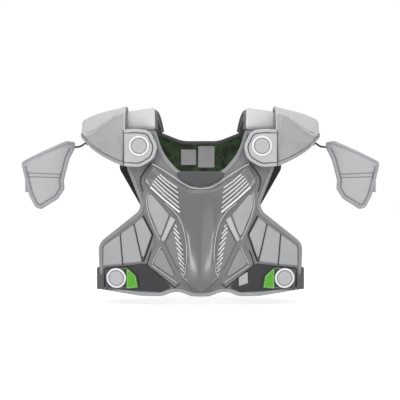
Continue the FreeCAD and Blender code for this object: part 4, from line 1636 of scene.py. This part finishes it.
# ------------------------------------------------------------------ strap tabs and belts
@dataclass
class Belt:
    """Elastic belt round the side of the body, and the tab that closes it."""

    shop: Workshop
    low: float = -373.0
    high: float = -329.0
    thick: float = 2.4
    levels: int = 23
    bend: float = 60.0

    def build(self) -> None:
        """Makes the belt, the tab and what is sewn on it."""
        shop = self.shop
        on_landing = ON_FOAM + LOOP_PILE + SEAT
        on_tab = on_landing + TAB + SEAT
        tab = Pad(rounded([(-202, -329, 2), (-156, -323, 6), (-133, -341, 8),
                           (-128, -370, 2), (-200, -374, 2)]),
                  on_landing, TAB, edge=0.5, roll=1.5, step=4.0)
        shop.both(tab.lay("left_closing_tab", CHEST), "dark_textile", "tab", ["strap_tab"])
        patch = Pad(rounded([(-155, -326, 2), (-151, -328, 6), (-135, -343, 8),
                             (-131, -367, 2), (-155, -370, 2)]),
                    on_tab, PATCH, edge=0.4, roll=1.0, step=3.0)
        shop.both(patch.lay("left_green_patch", CHEST), "green", "tab", ["tab_patch"])
        Badge().build(shop, "tab_badge", CHEST, (-177.0, -348.0), on_tab, "tab", "tab_badge")
        for name, seam in (("tab", CHEST.over(shrunk(tab.outline, 3.4), on_tab - SEAT)),
                           ("patch", CHEST.over(shrunk(patch.outline, 2.4), on_tab + PATCH))):
            shop.sew_both("left_%s_stitches" % name, [seam], True, "tab")
        self.belt()

    def belt(self) -> None:
        """Belt from the wing, round the side, to the back."""
        seat = FOAM + 0.8 + SEAT + self.thick / 2
        middle = (self.low + self.high) / 2
        wing = CHEST.over(np.array([[x, middle] for x in (-203.8, -212.0, -218.6)]), seat)[:, :2]
        lap = BACK.over(np.array([[x, middle] for x in (-146.0, -136.0, -126.0, -116.0)]), seat)[:, :2]
        turn = smooth_bend([tuple(wing[-1]), (-220.0, -6.0), (-196.0, 44.0), tuple(lap[0])], self.bend)
        path = np.vstack([wing[:-1], turn, lap[1:]])
        along = np.gradient(path, axis=0)
        along /= np.linalg.norm(along, axis=1, keepdims=True)
        across = np.column_stack([-along[:, 1], along[:, 0]]) * self.thick / 2
        levels = np.linspace(self.low, self.high, self.levels)
        ribs = 0.35 * (np.arange(self.levels) % 2)
        rings = []
        for sign in (-1, 1):
            for k in range(self.levels)[::-sign]:
                side = path + across * sign * (1 - ribs[k] / self.thick * 2)
                rings.append(np.column_stack([side, np.full(len(path), levels[k])]))
        belt = swept("left_belt", np.stack(rings, axis=1), False)
        self.shop.both(belt, "webbing", "", ["elastic_strap"])


def smooth_bend(corners: Sequence[Pair], radius: float) -> Array:
    """Samples an open path with rounded corners.

    Args:
        corners: (x, y) of the ends and the corners.
        radius: how far from a corner its bend starts.

    Returns:
        The samples as an (n, 2) array.
    """
    at = [np.array(c, float) for c in corners]
    path = [at[0]]
    for before, here, after in zip(at, at[1:], at[2:]):
        near = 0.45 * min(np.linalg.norm(before - here), np.linalg.norm(after - here))
        first = here + (before - here) / np.linalg.norm(before - here) * min(near, radius)
        last = here + (after - here) / np.linalg.norm(after - here) * min(near, radius)
        for t in np.linspace(0, 1, 12):
            path.append((1 - t) ** 2 * first + 2 * t * (1 - t) * here + t ** 2 * last)
    path.append(at[-1])
    return divided(np.array(path), 6.0, closed=False)


# ------------------------------------------------------------------ back
@dataclass
class Back:
    """Back panel with its spine guard, pads, liner and neck labels."""

    shop: Workshop

    def build(self) -> None:
        """Makes every layer."""
        shop = self.shop
        edge = rounded(both_sides([
            (0, -56, 0), (-40, -56, 70), (-84, SEAM_Z, 10), (-157, SEAM_Z, 1),
            (-179, -116, 22), (-127, -210, 60), (-128, -300, 90), (-128, -377, 20),
            (0, -377, 0)]))
        panel = Pad(shrunk(edge, 0.5 * BINDING_WIDTH), 0, FOAM, edge=0.8, roll=2.0, step=7.0)
        made = shop.finish(panel.lay("back_panel", BACK), "dark_textile", "harness", ["back_foam_panel"])
        tape = edge_binding("back_edge_binding", edge, BACK, 0, FOAM, 1.3 * BINDING_WIDTH)
        painted(tape, shop.materials["dark_binding"], shop.materials["dark_textile"],
                lambda at: np.abs(at[:, 0]) > 100.0)
        shop.finish(tape, "dark_binding", "harness", ["back_binding"])
        shop.sew("back_edge_stitches", [BACK.over(shrunk(edge, 8.3), FOAM + 1.8)], True)
        lining = shrunk(edge, BINDING_WIDTH)
        lining[:, 0] = np.clip(lining[:, 0], -148.0, 148.0)
        liner = Pad(lining, -SEAT - LINER, LINER, edge=0.5, roll=1.0, step=7.0)
        shop.finish(liner.lay("back_lining", BACK), "liner", "harness", ["back_liner"])
        self.spine()
        self.pads()
        self.labels()

    def spine(self) -> None:
        """Row of hinged guard segments down the spine."""
        half, top, bottom, count = 24.0, -74.0, -352.0, 5
        length = (top - bottom) / count
        for number in range(count):
            high = top - number * length
            low = high - length + 0.8
            outline = rounded([(-20, high, 4), (20, high, 4), (half, (high + low) / 2, 3), (20, low, 4),
                               (-20, low, 4), (-half, (high + low) / 2, 3)])
            pad = Pad(outline, ON_FOAM, RIB_PAD + PLATE, edge=0.4, roll=5.0, step=3.5,
                      relief=inset_groove(7.0, 1.2, 1.2))
            made = pad.lay("spine_segment_%d" % number, BACK)
            self.shop.finish(made, "dark_foam", "harness", ["spine_guard"] if number == 0 else [])

    def pads(self) -> None:
        """Blade and kidney pads."""
        blade = [(-38, -84, 10), (-74, -62, 14), (-142, -60, 12), (-152, -114, 22),
                 (-106, -188, 20), (-38, -196, 10)]
        kidney = [(-38, -208, 10), (-98, -204, 16), (-114, -300, 40), (-112, -358, 12),
                  (-38, -358, 10)]
        quilting = {"blade": [[(-44.0, -118.0), (-140.0, -98.0)], [(-44.0, -156.0), (-118.0, -142.0)]],
                    "kidney": [[(-44.0, -258.0), (-104.0, -252.0)], [(-44.0, -308.0), (-108.0, -304.0)]]}
        for name, outline in (("blade", blade), ("kidney", kidney)):
            pad = Pad(rounded(outline), ON_FOAM, RIB_PAD, edge=0.3, roll=4.5, step=4.5,
                      relief=groove([np.array(line) for line in quilting[name]], 3.0, 2.2))
            cushion = pad.lay("left_%s_cushion" % name, BACK)
            self.shop.both(cushion, "shade_knit", "", [name + "_pad"], fill=0.8)

    def labels(self) -> None:
        """Bare neck labels inside the collar, and the tag at the hem."""
        under = -2 * SEAT - LINER
        for number, (x, z, w, h) in enumerate(((-43.0, -75.0, 33.0, 34.0), (-5.0, -67.5, 36.0, 47.0))):
            outline = rounded([(x, z, 2), (x + w, z, 2), (x + w, z - h, 2), (x, z - h, 2)])
            label = Pad(outline, under - LABEL, LABEL, edge=0.9, roll=0.6, step=5.0)
            label = label.lay("neck_label_%d" % number, BACK)
            self.shop.finish(label, "label", "harness", ["fabric_labels"] if number == 0 else [])
        tag = rounded([(80, -345, 1), (98, -333, 1), (99, -357, 1), (80, -363, 1)])
        seat = ON_FOAM + LOOP_PILE + SEAT
        tag_piece = Pad(tag, seat, LABEL, edge=0.9, roll=0.6, step=4.0).lay("hem_tag", CHEST)
        self.shop.finish(tag_piece, "label", "harness")


# ------------------------------------------------------------------ yokes
@dataclass
class Yoke:
    """Padded strap over a shoulder, from the chest seam to the back seam."""

    shop: Workshop
    rise: float = 62.0
    slope_drop: float = 6.0
    thick: float = 10.0
    liner: float = 6.0
    neck_x: Place = (-94.0, -97.0, -84.0)
    arm_x: Place = (-158.0, -160.0, -157.0)
    seam_z: float = -38.0
    samples: int = 61
    end_round: float = 9.0

    def seam_turn(self) -> float:
        """Angle from the top of the arch to its seams."""
        return math.acos(1 + self.seam_z / self.rise)

    def turns(self) -> Array:
        """Angles from the chest seam to the back seam."""
        return np.linspace(-self.seam_turn(), self.seam_turn(), self.samples)

    def edge_points(self, turns: Array, edges: Place, drop: float) -> Array:
        """Inner face of one edge of the arch.

        Args:
            turns: angles about the top of the arch.
            edges: the edge's x at the chest seam, the top and the back seam.
            drop: how much lower the edge lies at the top.

        Returns:
            Row-frame points.
        """
        out = []
        for turn in turns:
            share = abs(turn) / self.seam_turn()
            seam_x, side = (edges[0], CHEST) if turn < 0 else (edges[2], BACK)
            deep = abs(side.over(np.array([[seam_x, self.seam_z]]), 0.0)[0, 1]) / math.sin(self.seam_turn())
            out.append((edges[1] + (seam_x - edges[1]) * share, deep * math.sin(turn),
                        self.rise * (math.cos(turn) - 1) - drop * (1 - share)))
        return np.array(out)

    def sheet(self, turns: Array, across: float, depth: Array | float) -> Array:
        """Line along the arch.

        Args:
            turns: angles about the top of the arch.
            across: share of the width from the neck.
            depth: distance outside the arch's inner face.

        Returns:
            Row-frame points.
        """
        neck = self.edge_points(turns, self.neck_x, 0.0)
        arm = self.edge_points(turns, self.arm_x, self.slope_drop)
        normal = np.column_stack([np.zeros(len(turns)), np.sin(turns), np.cos(turns)])
        return neck + (arm - neck) * across + normal * np.broadcast_to(depth, len(turns))[:, None]

    def arch(self, name: str, inner: float, outer: float, roll: float,
             crown: float = 0.0) -> Piece:
        """Closed padded arch between two depths.

        Args:
            name: the piece's name.
            inner: depth of its inner face.
            outer: depth of its outer face.
            roll: width of the rounded edges.
            crown: how far the middle stands out beyond the outer depth.

        Returns:
            The new object.
        """
        turns = self.turns()
        before_seam = (self.seam_turn() - np.abs(turns)) * self.rise
        ends = np.sqrt(1 - (1 - np.clip(before_seam / self.end_round, 0, 1)) ** 2)
        over = np.linspace(0, 1, 25)
        width = abs(self.arm_x[1] - self.neck_x[1])
        rings = []
        for a in over:
            gap = np.clip(min(a, 1 - a) * width / roll, 0, 1)
            swell = crown * (1 - a) ** 0.7 * min(1.0, min(a, 1 - a) / 0.06)
            round_over = 0.45 + 0.55 * math.sqrt(1 - (1 - gap) ** 2)
            depth = inner + (outer - inner) * round_over * (0.7 + 0.3 * ends) + swell * ends
            rings.append(self.sheet(turns, a, depth))
        rings += [self.sheet(turns, a, inner) for a in over[::-1]]
        return swept(name, np.stack(rings, axis=1), False)

    def build(self) -> None:
        """Makes the strap, its lining and its piped edges; the arm edge's paler tape is painted light against
        the shade that the cap casts there.
        """
        shop = self.shop
        shop.both(self.arch("left_yoke_strap", 0, self.thick, 4.0, 4.0), "strap_foam", "", ["yoke"], fill=0.8)
        turns = np.linspace(-0.9, 0.9, 50)
        lines = [self.sheet(turns, across, self.thick + lift) for across, lift in ((0.1, 3.9), (0.93, 0.9))]
        shop.sew_both("left_yoke_stitches", lines)
        lining = self.arch("left_yoke_lining", -SEAT - self.liner, -SEAT, 5.0)
        shop.both(lining, "foam", "", ["yoke_liner"], fill=0.7)
        # the arm edge takes the paler tape as painted light, lifting the shade that the cap casts on it
        for name, across, key in (("neck", 0.0, "dark_binding"), ("arm", 1.0, "pale_binding")):
            line = self.sheet(self.turns(), across, 0.5 * self.thick)
            shop.both(tube_along("left_yoke_%s_edge" % name, line, 4.0, sides=10), key)


# ------------------------------------------------------------------ shoulder caps
@dataclass(frozen=True)
class CapStation:
    """Half section of a cap at one distance from the neck, as (y, z) corners."""

    x: float
    crown: Pair
    ridge: Pair
    knee: Pair
    hem: Pair

    def corners(self) -> Array:
        """The corners from hem to crown."""
        return np.array([self.hem, self.knee, self.ridge, self.crown])


@dataclass
class Cap:
    """Faceted shell over the shoulder joint, with a front and a rear flange."""

    shop: Workshop
    stations: tuple[CapStation, ...] = (
        CapStation(-160.0, (36.0, 14.5), (80.0, -4.0), (104.0, -44.0), (104.0, -113.0)),
        CapStation(-200.0, (34.0, 4.5), (71.0, -22.0), (90.0, -58.0), (90.0, -95.0)),
        CapStation(-236.0, (26.0, -7.0), (49.0, -46.5), (58.0, -61.0), (58.0, -71.0)),
        CapStation(-254.0, (17.0, -16.5), (33.0, -45.5), (36.0, -50.5), (36.0, -54.0)),
    )
    front_y: float = -104.0
    rear_y: float = 97.0
    shell: float = 8.3
    tip_round: float = 5.0
    counts: tuple[int, int, int] = (16, 12, 12)
    top_count: int = 12
    sag: Place = (1.6, 2.2, 1.4)
    flange_thick: float = 7.0
    spacer_radius: float = 15.0
    pivot: Pair = (-128.0, -71.0)
    middle: Place = (-190.0, 0.0, -80.0)
    cord_hole: Place = (-243.0, -20.0, -61.8)
    hole_radius: float = 4.5

    def corners_at(self, x: float) -> Array:
        """Corners of the half section at x, interpolated through the stations.

        Args:
            x: distance from the middle of the chest.

        Returns:
            The (y, z) corners from hem to crown.
        """
        total = np.zeros((4, 2))
        for i, station in enumerate(self.stations):
            weight = 1.0
            for j, other in enumerate(self.stations):
                if i != j:
                    weight *= (x - other.x) / (station.x - other.x)
            total += weight * station.corners()
        return total

    def hem_line(self) -> Array:
        """Lower edge of the cap in front view, from the neck side to the tip.

        Returns:
            (x, z) samples in order of x.
        """
        outline = rounded([(-164, 30, 0), (-160, 30, 0), (-160, -114, 0), (-166, -112, 30),
                           (-222, -84, 60), (-250, -56, 16), (-262, -40, 5),
                           (-262, 30, 0)], 1.5)
        low = outline[outline[:, 1] < -38]
        return low[np.argsort(low[:, 0])]

    def half_section(self, x: float, hem_z: float) -> Array:
        """Samples of the front half of the section at x, from hem to crown centre.

        Args:
            x: distance from the middle of the chest.
            hem_z: height of the hem there.

        Returns:
            (y, z) samples, with y above 0.
        """
        hem, knee, ridge, crown = self.corners_at(x)
        if hem_z > hem[1]:
            hem = hem + (knee - hem) * min(0.9, (hem_z - hem[1]) / max(knee[1] - hem[1], 1e-6))
        centre = np.array([0.0, crown[1] + 1.5])
        at = [hem, knee, ridge, crown, centre]
        path = []
        for i, (count, sag) in enumerate(zip((*self.counts, self.top_count), (*self.sag, 0.0))):
            side = at[i + 1] - at[i]
            inward = np.array([-side[1], side[0]]) / max(float(np.linalg.norm(side)), 1e-6)
            hollow = sag * min(1.0, float(np.linalg.norm(side)) / 30.0)
            for k in range(count):
                share = k / count
                path.append(at[i] + side * share + inward * hollow * 4 * share * (1 - share))
        path.append(centre)
        return self.eased(np.array(path))

    @staticmethod
    def eased(path: Array) -> Array:
        """Rounds the corners of a sampled section by a short running average.

        Args:
            path: the samples.

        Returns:
            The eased samples.
        """
        out = path.copy()
        for _ in range(2):
            mean = (np.roll(out, 1, axis=0) + 2 * out + np.roll(out, -1, axis=0)) / 4
            mean[0], mean[-1] = out[0], out[-1]
            out = mean
        return out

    def grid(self) -> Array:
        """Outer surface as an (x, section, 3) grid, hem to hem, closed over the tip.

        Returns:
            Row-frame points.
        """
        hem = self.hem_line()
        rings = []
        last = self.stations[-1].x
        places = list(np.linspace(self.stations[0].x, last + self.tip_round, 44))
        for x in places:
            rings.append(self.ring(x, 0.0, hem))
        for turn in np.linspace(0, math.pi / 2, 7)[1:]:
            x = last + self.tip_round * (1 - math.sin(turn))
            rings.append(self.ring(x, self.tip_round * (1 - math.cos(turn)), hem))
        tip = rings[-1]
        low = tip[0, 2]
        for share in np.linspace(0, 1, 9)[1:]:
            face = tip.copy()
            face[:, 1] = tip[:, 1] * (1 - 0.3 * share)
            face[:, 2] = tip[:, 2] + (low - tip[:, 2]) * share
            rings.append(face)
        return np.stack(rings)

    def ring(self, x: float, inset: float, hem: Array) -> Array:
        """One section from the front hem over the crown to the rear hem.

        Args:
            x: distance from the middle of the chest.
            inset: how far the section is drawn in, for the rounded tip.
            hem: (x, z) samples of the hem.

        Returns:
            Row-frame points.
        """
        half = self.half_section(x, float(np.interp(x, hem[:, 0], hem[:, 1])))
        above_hem = half[:, 1] > half[0, 1] + 1
        half = np.column_stack([half[:, 0] * (1 - inset / 34.0), half[:, 1] - inset * above_hem])
        front = np.column_stack([np.full(len(half), x), -half[:, 0], half[:, 1]])
        rear = np.column_stack([np.full(len(half), x), half[:, 0] * self.rear_y / -self.front_y, half[:, 1]])
        return np.vstack([front, rear[-2::-1]])

    def normals(self, grid: Array) -> Array:
        """Outward unit normals of the grid.

        Args:
            grid: the outer surface.

        Returns:
            One normal for each point.
        """
        along, across = np.gradient(grid, axis=0), np.gradient(grid, axis=1)
        normal = np.cross(across, along)
        normal /= np.maximum(np.linalg.norm(normal, axis=2, keepdims=True), 1e-9)
        turned = np.sum(normal * (grid - np.array(self.middle)), axis=2, keepdims=True) < 0
        return np.where(turned, -normal, normal)

    def build(self) -> None:
        """Makes the shell, whose lower facets are partly painted shade, its hem tape, ridge tubes that paint
        a highlight and a shade line, flanges, badge, spacers and cord tab.
        """
        shop = self.shop
        grid = self.grid()
        normal = self.normals(grid)
        front = grid[..., [0, 2]].reshape(-1, 2)
        folds = [np.array(line) for line in (
            [(-184.0, -7.0), (-210.0, -26.0), (-241.0, -47.0)],
            [(-204.0, -88.0), (-182.0, -99.0), (-162.0, -106.0)],
            [(-213.0, -79.5), (-204.0, -69.0), (-199.0, -52.0)],
            [(-171.0, 2.0), (-164.0, -25.0), (-163.0, -44.5)])]
        ridges = [np.array(line) for line in (
            [(-184.0, -11.5), (-210.0, -30.5), (-242.0, -51.0)], [(-239.0, -53.0), (-212.0, -75.0)],
            [(-200.0, -84.0), (-181.0, -94.0)], [(-177.0, 0.0), (-169.0, -25.0), (-165.0, -44.5)])]
        relief = added(groove(folds, 2.4, 1.5), groove(ridges, 1.7, -1.5))
        sunk = relief(front, np.zeros(len(front))).reshape(grid.shape[:2])
        outer = grid + normal * sunk[..., None]
        # the faces under the ridge take the darker finish: partly a darker tone, partly painted shade
        shell = painted(self.shell_mesh("left_cap_shell", outer), shop.materials["light_foam"],
                        shop.materials["cap_side"], self.below_ridge)
        shop.both(shell, "light_foam", "cap", ["cap_cover", "cap_foam"], fill=0.9)
        shop.both(self.hem_tape("left_cap_hem", grid, normal), "pale_binding", "cap", ["cap_binding"])
        edge = grid[0, self.counts[0]:-self.counts[0]] + np.array([0.6, 0.0, -0.6])
        shop.both(tube_along("left_cap_neck_piping", edge, 1.7), "light_foam", "cap")
        ridge = self.counts[0] + self.counts[1]
        # a light tube on each ridge paints its highlight, and a dark tube beside it paints the crease's shade
        for key, column, width in (("strap_foam", ridge, 0.9), ("fold", ridge + 2, 0.7)):
            for side, at in (("front", column), ("rear", -1 - column)):
                line = outer[12:40, at] + 0.1 * normal[12:40, at]
                shop.both(tube_along("left_cap_%s_%s_piping" % (side, key), line, width, sides=6), key, "cap")
        self.flanges()
        self.anchor()

    def below_ridge(self, centres: Array) -> Array:
        """Whether each place on the shell lies under the ridge line of its side; those faces take the darker
        finish, which is partly painted shade.

        Args:
            centres: row-frame places.

        Returns:
            A mask of n entries.
        """
        reach = np.clip(centres[:, 0], self.stations[-1].x, self.stations[0].x)
        return centres[:, 2] < np.array([self.corners_at(x)[2, 1] for x in reach])

    def shell_mesh(self, name: str, grid: Array) -> Piece:
        """Thick shell inside a grid.

        Args:
            name: the piece's name.
            grid: its outer surface.

        Returns:
            The new object.
        """
        rows, columns = grid.shape[:2]
        faces = [face for row in range(rows - 1)
                 for face in band(row * columns, (row + 1) * columns, columns, False)]
        skin = to_object(name + "_skin", grid.reshape(-1, 3), faces, 30.0)
        mesh = skin.data
        middle = Vector(self.middle) * MM
        outside = sum(1 if f.normal.dot(f.center - middle) > 0 else -1 for f in mesh.polygons)
        if outside < 0:
            mesh.flip_normals()
        solid = skin.modifiers.new("shell", "SOLIDIFY")
        solid.thickness = self.shell * MM
        solid.offset = -1.0
        solid.use_even_offset = False
        solid.thickness_clamp = 2.0
        bpy.context.view_layer.update()
        made = bpy.data.meshes.new_from_object(skin.evaluated_get(bpy.context.evaluated_depsgraph_get()))
        bpy.data.objects.remove(skin, do_unlink=True)
        made.name = name
        made.shade_smooth()
        made.set_sharp_from_angle(angle=math.radians(40))
        return placed(name, made)

    def hem_tape(self, name: str, grid: Array, normal: Array) -> Piece:
        """Tape folded round the hem, with a groove along its middle.

        Args:
            name: the piece's name.
            grid: the cap's outer surface.
            normal: its normals.

        Returns:
            The new object.
        """
        rings = 50
        front, rear = grid[:rings, 0], grid[:rings, -1]
        up_front, up_rear = grid[:rings, 3] - front, grid[:rings, -4] - rear
        out_front, out_rear = normal[:rings, 0].copy(), normal[:rings, -1].copy()
        for ring, turn in zip(range(rings - 6, rings), np.linspace(0, math.pi / 2, 7)[1:]):
            up_front[ring] = up_rear[ring] = (0.0, 0.0, 3.0)
            out_front[ring] = (-math.sin(turn), -math.cos(turn), 0.0)
            out_rear[ring] = (-math.sin(turn), math.cos(turn), 0.0)
        across = np.linspace(0, 1, 18)[1:-1, None]
        bottom = front[-1] + (rear[-1] - front[-1]) * across
        path = np.vstack([front, bottom, rear[::-1]])
        up = np.vstack([up_front, np.tile([0.0, 0.0, 1.0], (16, 1)), up_rear[::-1]])
        out = np.vstack([out_front, np.tile([-1.0, 0.0, 0.0], (16, 1)), out_rear[::-1]])
        for _ in range(3):
            for field in (up, out):
                field /= np.linalg.norm(field, axis=1, keepdims=True)
                field[1:-1] = (field[:-2] + 2 * field[1:-1] + field[2:]) / 4
        up /= np.linalg.norm(up, axis=1, keepdims=True)
        out -= up * np.sum(out * up, axis=1, keepdims=True)
        out /= np.linalg.norm(out, axis=1, keepdims=True)
        section = [(7.0, -1.0), (7.0, 0.6), (5.4, 1.3), (4.2, 1.0), (3.6, 0.2), (3.0, 1.0), (1.6, 1.3),
                   (0.2, 0.4), (-0.6, -1.6), (-0.6, -6.6), (0.2, -8.8), (6.0, -9.2), (7.0, -8.0)]
        inward = 1 - 0.65 * smooth_step((-238.0 - path[:, :1]) / 12)
        loops = [path + up * u + out * (n * inward if n < 0 else n) for u, n in section]
        seam = tube_along(name + "_seam", path + up * 7.6 + out * 0.4, 0.8, sides=6)
        self.shop.both(seam, "seam", "cap")
        return swept(name, np.stack(loops, axis=1), False)

    def flanges(self) -> None:
        """Flat front and rear flanges, with the badge on the front one."""
        shop = self.shop
        outline = rounded([(-160, -37, 1), (-136, -35.5, 30), (-106, -38, 22), (-89.5, -72, 26),
                           (-97, -98, 26), (-125, -115.5, 34), (-160, -113, 1)])
        for name, side, y in (("front", -1, self.front_y), ("rear", 1, self.rear_y)):
            face = Plane(side, y)
            pad = Pad(outline, -self.flange_thick, self.flange_thick, edge=0.55, roll=2.5, step=2.4,
                      relief=self.flange_groove)
            made = pad.lay("left_%s_flange_pad" % name, face)
            shop.both(made, "light_foam", "cap", [name + "_flange"], fill=0.9)
            inner = shrunk(outline, 7.8)
            loop = inner[np.argsort(np.arctan2(-(inner[:, 1] + 76.0), inner[:, 0] + 148.0))]
            loop = loop[loop[:, 0] > -151.0]
            line = np.vstack([(-159.0, loop[0, 1]), loop, (-159.0, loop[-1, 1])])
            # near-black strip in the flange's groove: painted shade
            made = strips("left_%s_flange_seam" % name, [line], [1.7], face,
                          lambda flat: np.full(len(flat), -0.3), 0.5)
            shop.both(made, "black", "cap")
        fold = np.array([(-160.8, self.front_y - 0.2, z) for z in np.linspace(-38, -111, 12)])
        shop.both(tube_along("left_cap_fold", fold, 0.9), "seam", "cap")
        Badge().build(shop, "flange_badge", Plane(-1, self.front_y), self.pivot, SEAT, "cap", "flange_badge")
        self.spacers()

    def spacers(self) -> None:
        """Round foam spacers between each flange and the body's layers."""
        spot = np.array([self.pivot])
        ends = ((CHEST.over(spot, 8.0)[0, 1], self.front_y + self.flange_thick + SEAT),
                (BACK.over(spot, 8.0)[0, 1], self.rear_y - self.flange_thick - SEAT))
        turns = np.linspace(0, 2 * math.pi, 40, endpoint=False)
        circle = np.column_stack([np.cos(turns), np.zeros(40), np.sin(turns)]) * self.spacer_radius
        for number, (near, far) in enumerate(ends):
            rings = [circle + (self.pivot[0], y, self.pivot[1]) for y in np.linspace(near, far, 5)]
            spacer = swept("left_swivel_spacer_%d" % number, np.array(rings), False)
            self.shop.both(spacer, "dark_textile", "", ["swivel_pads"] if number == 0 else [])

    @staticmethod
    def flange_groove(flat: Array, gap: Array) -> Array:
        """Groove beside the flange's free edges.

        Args:
            flat: (x, z) places.
            gap: their distances to the outline.

        Returns:
            Depth of the groove.
        """
        return -0.9 * np.exp(-((gap - 8.0) / 2.6) ** 2) * smooth_step((flat[:, 0] + 150.0) / 4)

    def anchor(self) -> None:
        """Webbing tab that holds the cord under the tip."""
        x, y, z = self.cord_hole
        turns = np.linspace(0, 2 * math.pi, 28, endpoint=False)
        hole = self.hole_radius * np.column_stack([np.cos(turns), np.sin(turns)])
        outline = rounded([(-8, 22, 1), (-8, -6.6, 6), (8, -6.6, 6), (8, 22, 1)], 2.0)
        pad = Pad(outline, -1.2, 2.4, edge=0.8, roll=0.7, step=3.0, holes=[hole])
        points, faces = pad.flat_mesh()
        placed = np.column_stack([x - points[:, 1], y + points[:, 0], z + points[:, 2]])
        tab = to_object("left_cord_tab", placed, faces)
        self.shop.both(tab, "light_webbing", "cap", ["cord_anchor"])


# ------------------------------------------------------------------ arm pads
@dataclass
class ArmPad:
    """Curved pad over the upper arm, with its elastic loop."""

    shop: Workshop
    barrel: Barrel = Barrel((-327.0, -6.0), ((64.0, -52.0), (66.0, -131.0), (57.0, -206.0)))
    thick: float = 5.0
    rim: float = 7.0
    strap_radius: float = 43.0
    strap_turn: float = 48.0
    strap_z: Pair = (-168.0, -122.0)
    strap_thick: float = 2.4
    strap_levels: int = 23
    strap_end_x: float = -303.0

    def build(self) -> None:
        """Makes the cover, its bound edge, the strips that paint shade in its grooves, its lining and the
        loop.
        """
        shop = self.shop
        edge = rounded([(-266.5, -61, 4), (-282, -59, 8), (-382, -104, 10), (-363, -176, 12),
                        (-350, -200, 10), (-337, -204, 8), (-300, -182, 20), (-287, -161, 10),
                        (-288, -143, 6), (-277, -98, 30), (-267.5, -76, 10)], 3.0)
        lines = [np.array([(-370.0, -127.0), (-294.0, -130.0)]),
                 np.array([(-366.0, -135.0), (-298.0, -137.0)])]
        cover = Pad(shrunk(edge, 2.0), -self.thick, self.thick, edge=0.6, roll=4.0, step=3.0,
                    relief=added(inset_groove(7.5, 2.6, 1.0), groove(lines, 2.6, 1.0)))
        made = cover.lay("left_arm_pad_cover", self.barrel)
        shop.both(made, "arm_foam", "arm_pad", ["arm_cover"], fill=0.9)
        tape = edge_binding("left_arm_pad_edge", edge, self.barrel, -self.thick, -0.6, self.rim)
        shop.both(tape, "pale_binding", "arm_pad")
        top_side = np.array([(-262.0, -58.0), (-282.0, -59.0), (-386.0, -105.0)])
        inner = shrunk(edge, 9.0)
        inner = inner[distance_to(inner, [top_side], closed=False) > 13.0]
        jump = int(np.argmax(np.linalg.norm(np.roll(inner, -1, axis=0) - inner, axis=1)))
        # darker strips along the grooves paint their shade
        shade_lines = [np.roll(inner, -jump - 1, axis=0), *lines]
        made = strips("left_arm_pad_seams", shade_lines, [2.8, 1.8, 1.8], self.barrel,
                      lambda flat: np.full(len(flat), -0.8), 0.5)
        shop.both(made, "fold", "arm_pad")
        lining = Pad(shrunk(edge, self.rim), -2 * self.thick - SEAT, self.thick, edge=0.3, roll=4.0, step=4.5)
        shop.both(lining.lay("left_arm_pad_lining", self.barrel), "foam", "arm_pad", ["arm_foam"], fill=0.8)
        self.loop()

    def loop(self) -> None:
        """Ribbed elastic loop round the arm."""
        low, high = self.strap_z
        radius = self.barrel.radius(np.array([low, high])).min() - 2 * self.thick - 2 * SEAT
        reach = radius - self.strap_radius
        turn = math.radians(self.strap_turn)
        x, y = self.barrel.axis[0] - reach * math.sin(turn), self.barrel.axis[1] - reach * math.cos(turn)
        levels = np.linspace(low, high, self.strap_levels)
        bumps = 0.45 * (np.arange(self.strap_levels) % 2)
        within = self.strap_radius - self.strap_thick
        profile = [(self.strap_radius - b, z) for b, z in zip(bumps, levels)]
        profile += [(within + b, z) for b, z in zip(bumps[::-1], levels[::-1])]
        turns = np.linspace(0, 2 * math.pi, 72, endpoint=False)
        limit = self.strap_end_x - self.strap_radius
        rings = [[(min(x + r * math.cos(t), limit + r), y + r * math.sin(t), z) for r, z in profile]
                 for t in turns]
        loop = swept("left_arm_loop", np.array(rings), True)
        self.shop.both(loop, "light_webbing", "arm_pad", ["arm_strap"])


# ------------------------------------------------------------------ assembly
def main() -> None:
    """Builds the studio, the cords and every sub-assembly, in order."""
    logging.basicConfig(level=logging.INFO, format="%(message)s")
    Studio().build()
    shop = Workshop.open()
    ShockCord().build(shop)
    for part in (Chest(shop), Belt(shop), Back(shop), Yoke(shop), Cap(shop), ArmPad(shop)):
        part.build()
    bpy.context.view_layer.update()


if __name__ == "__main__":
    main()
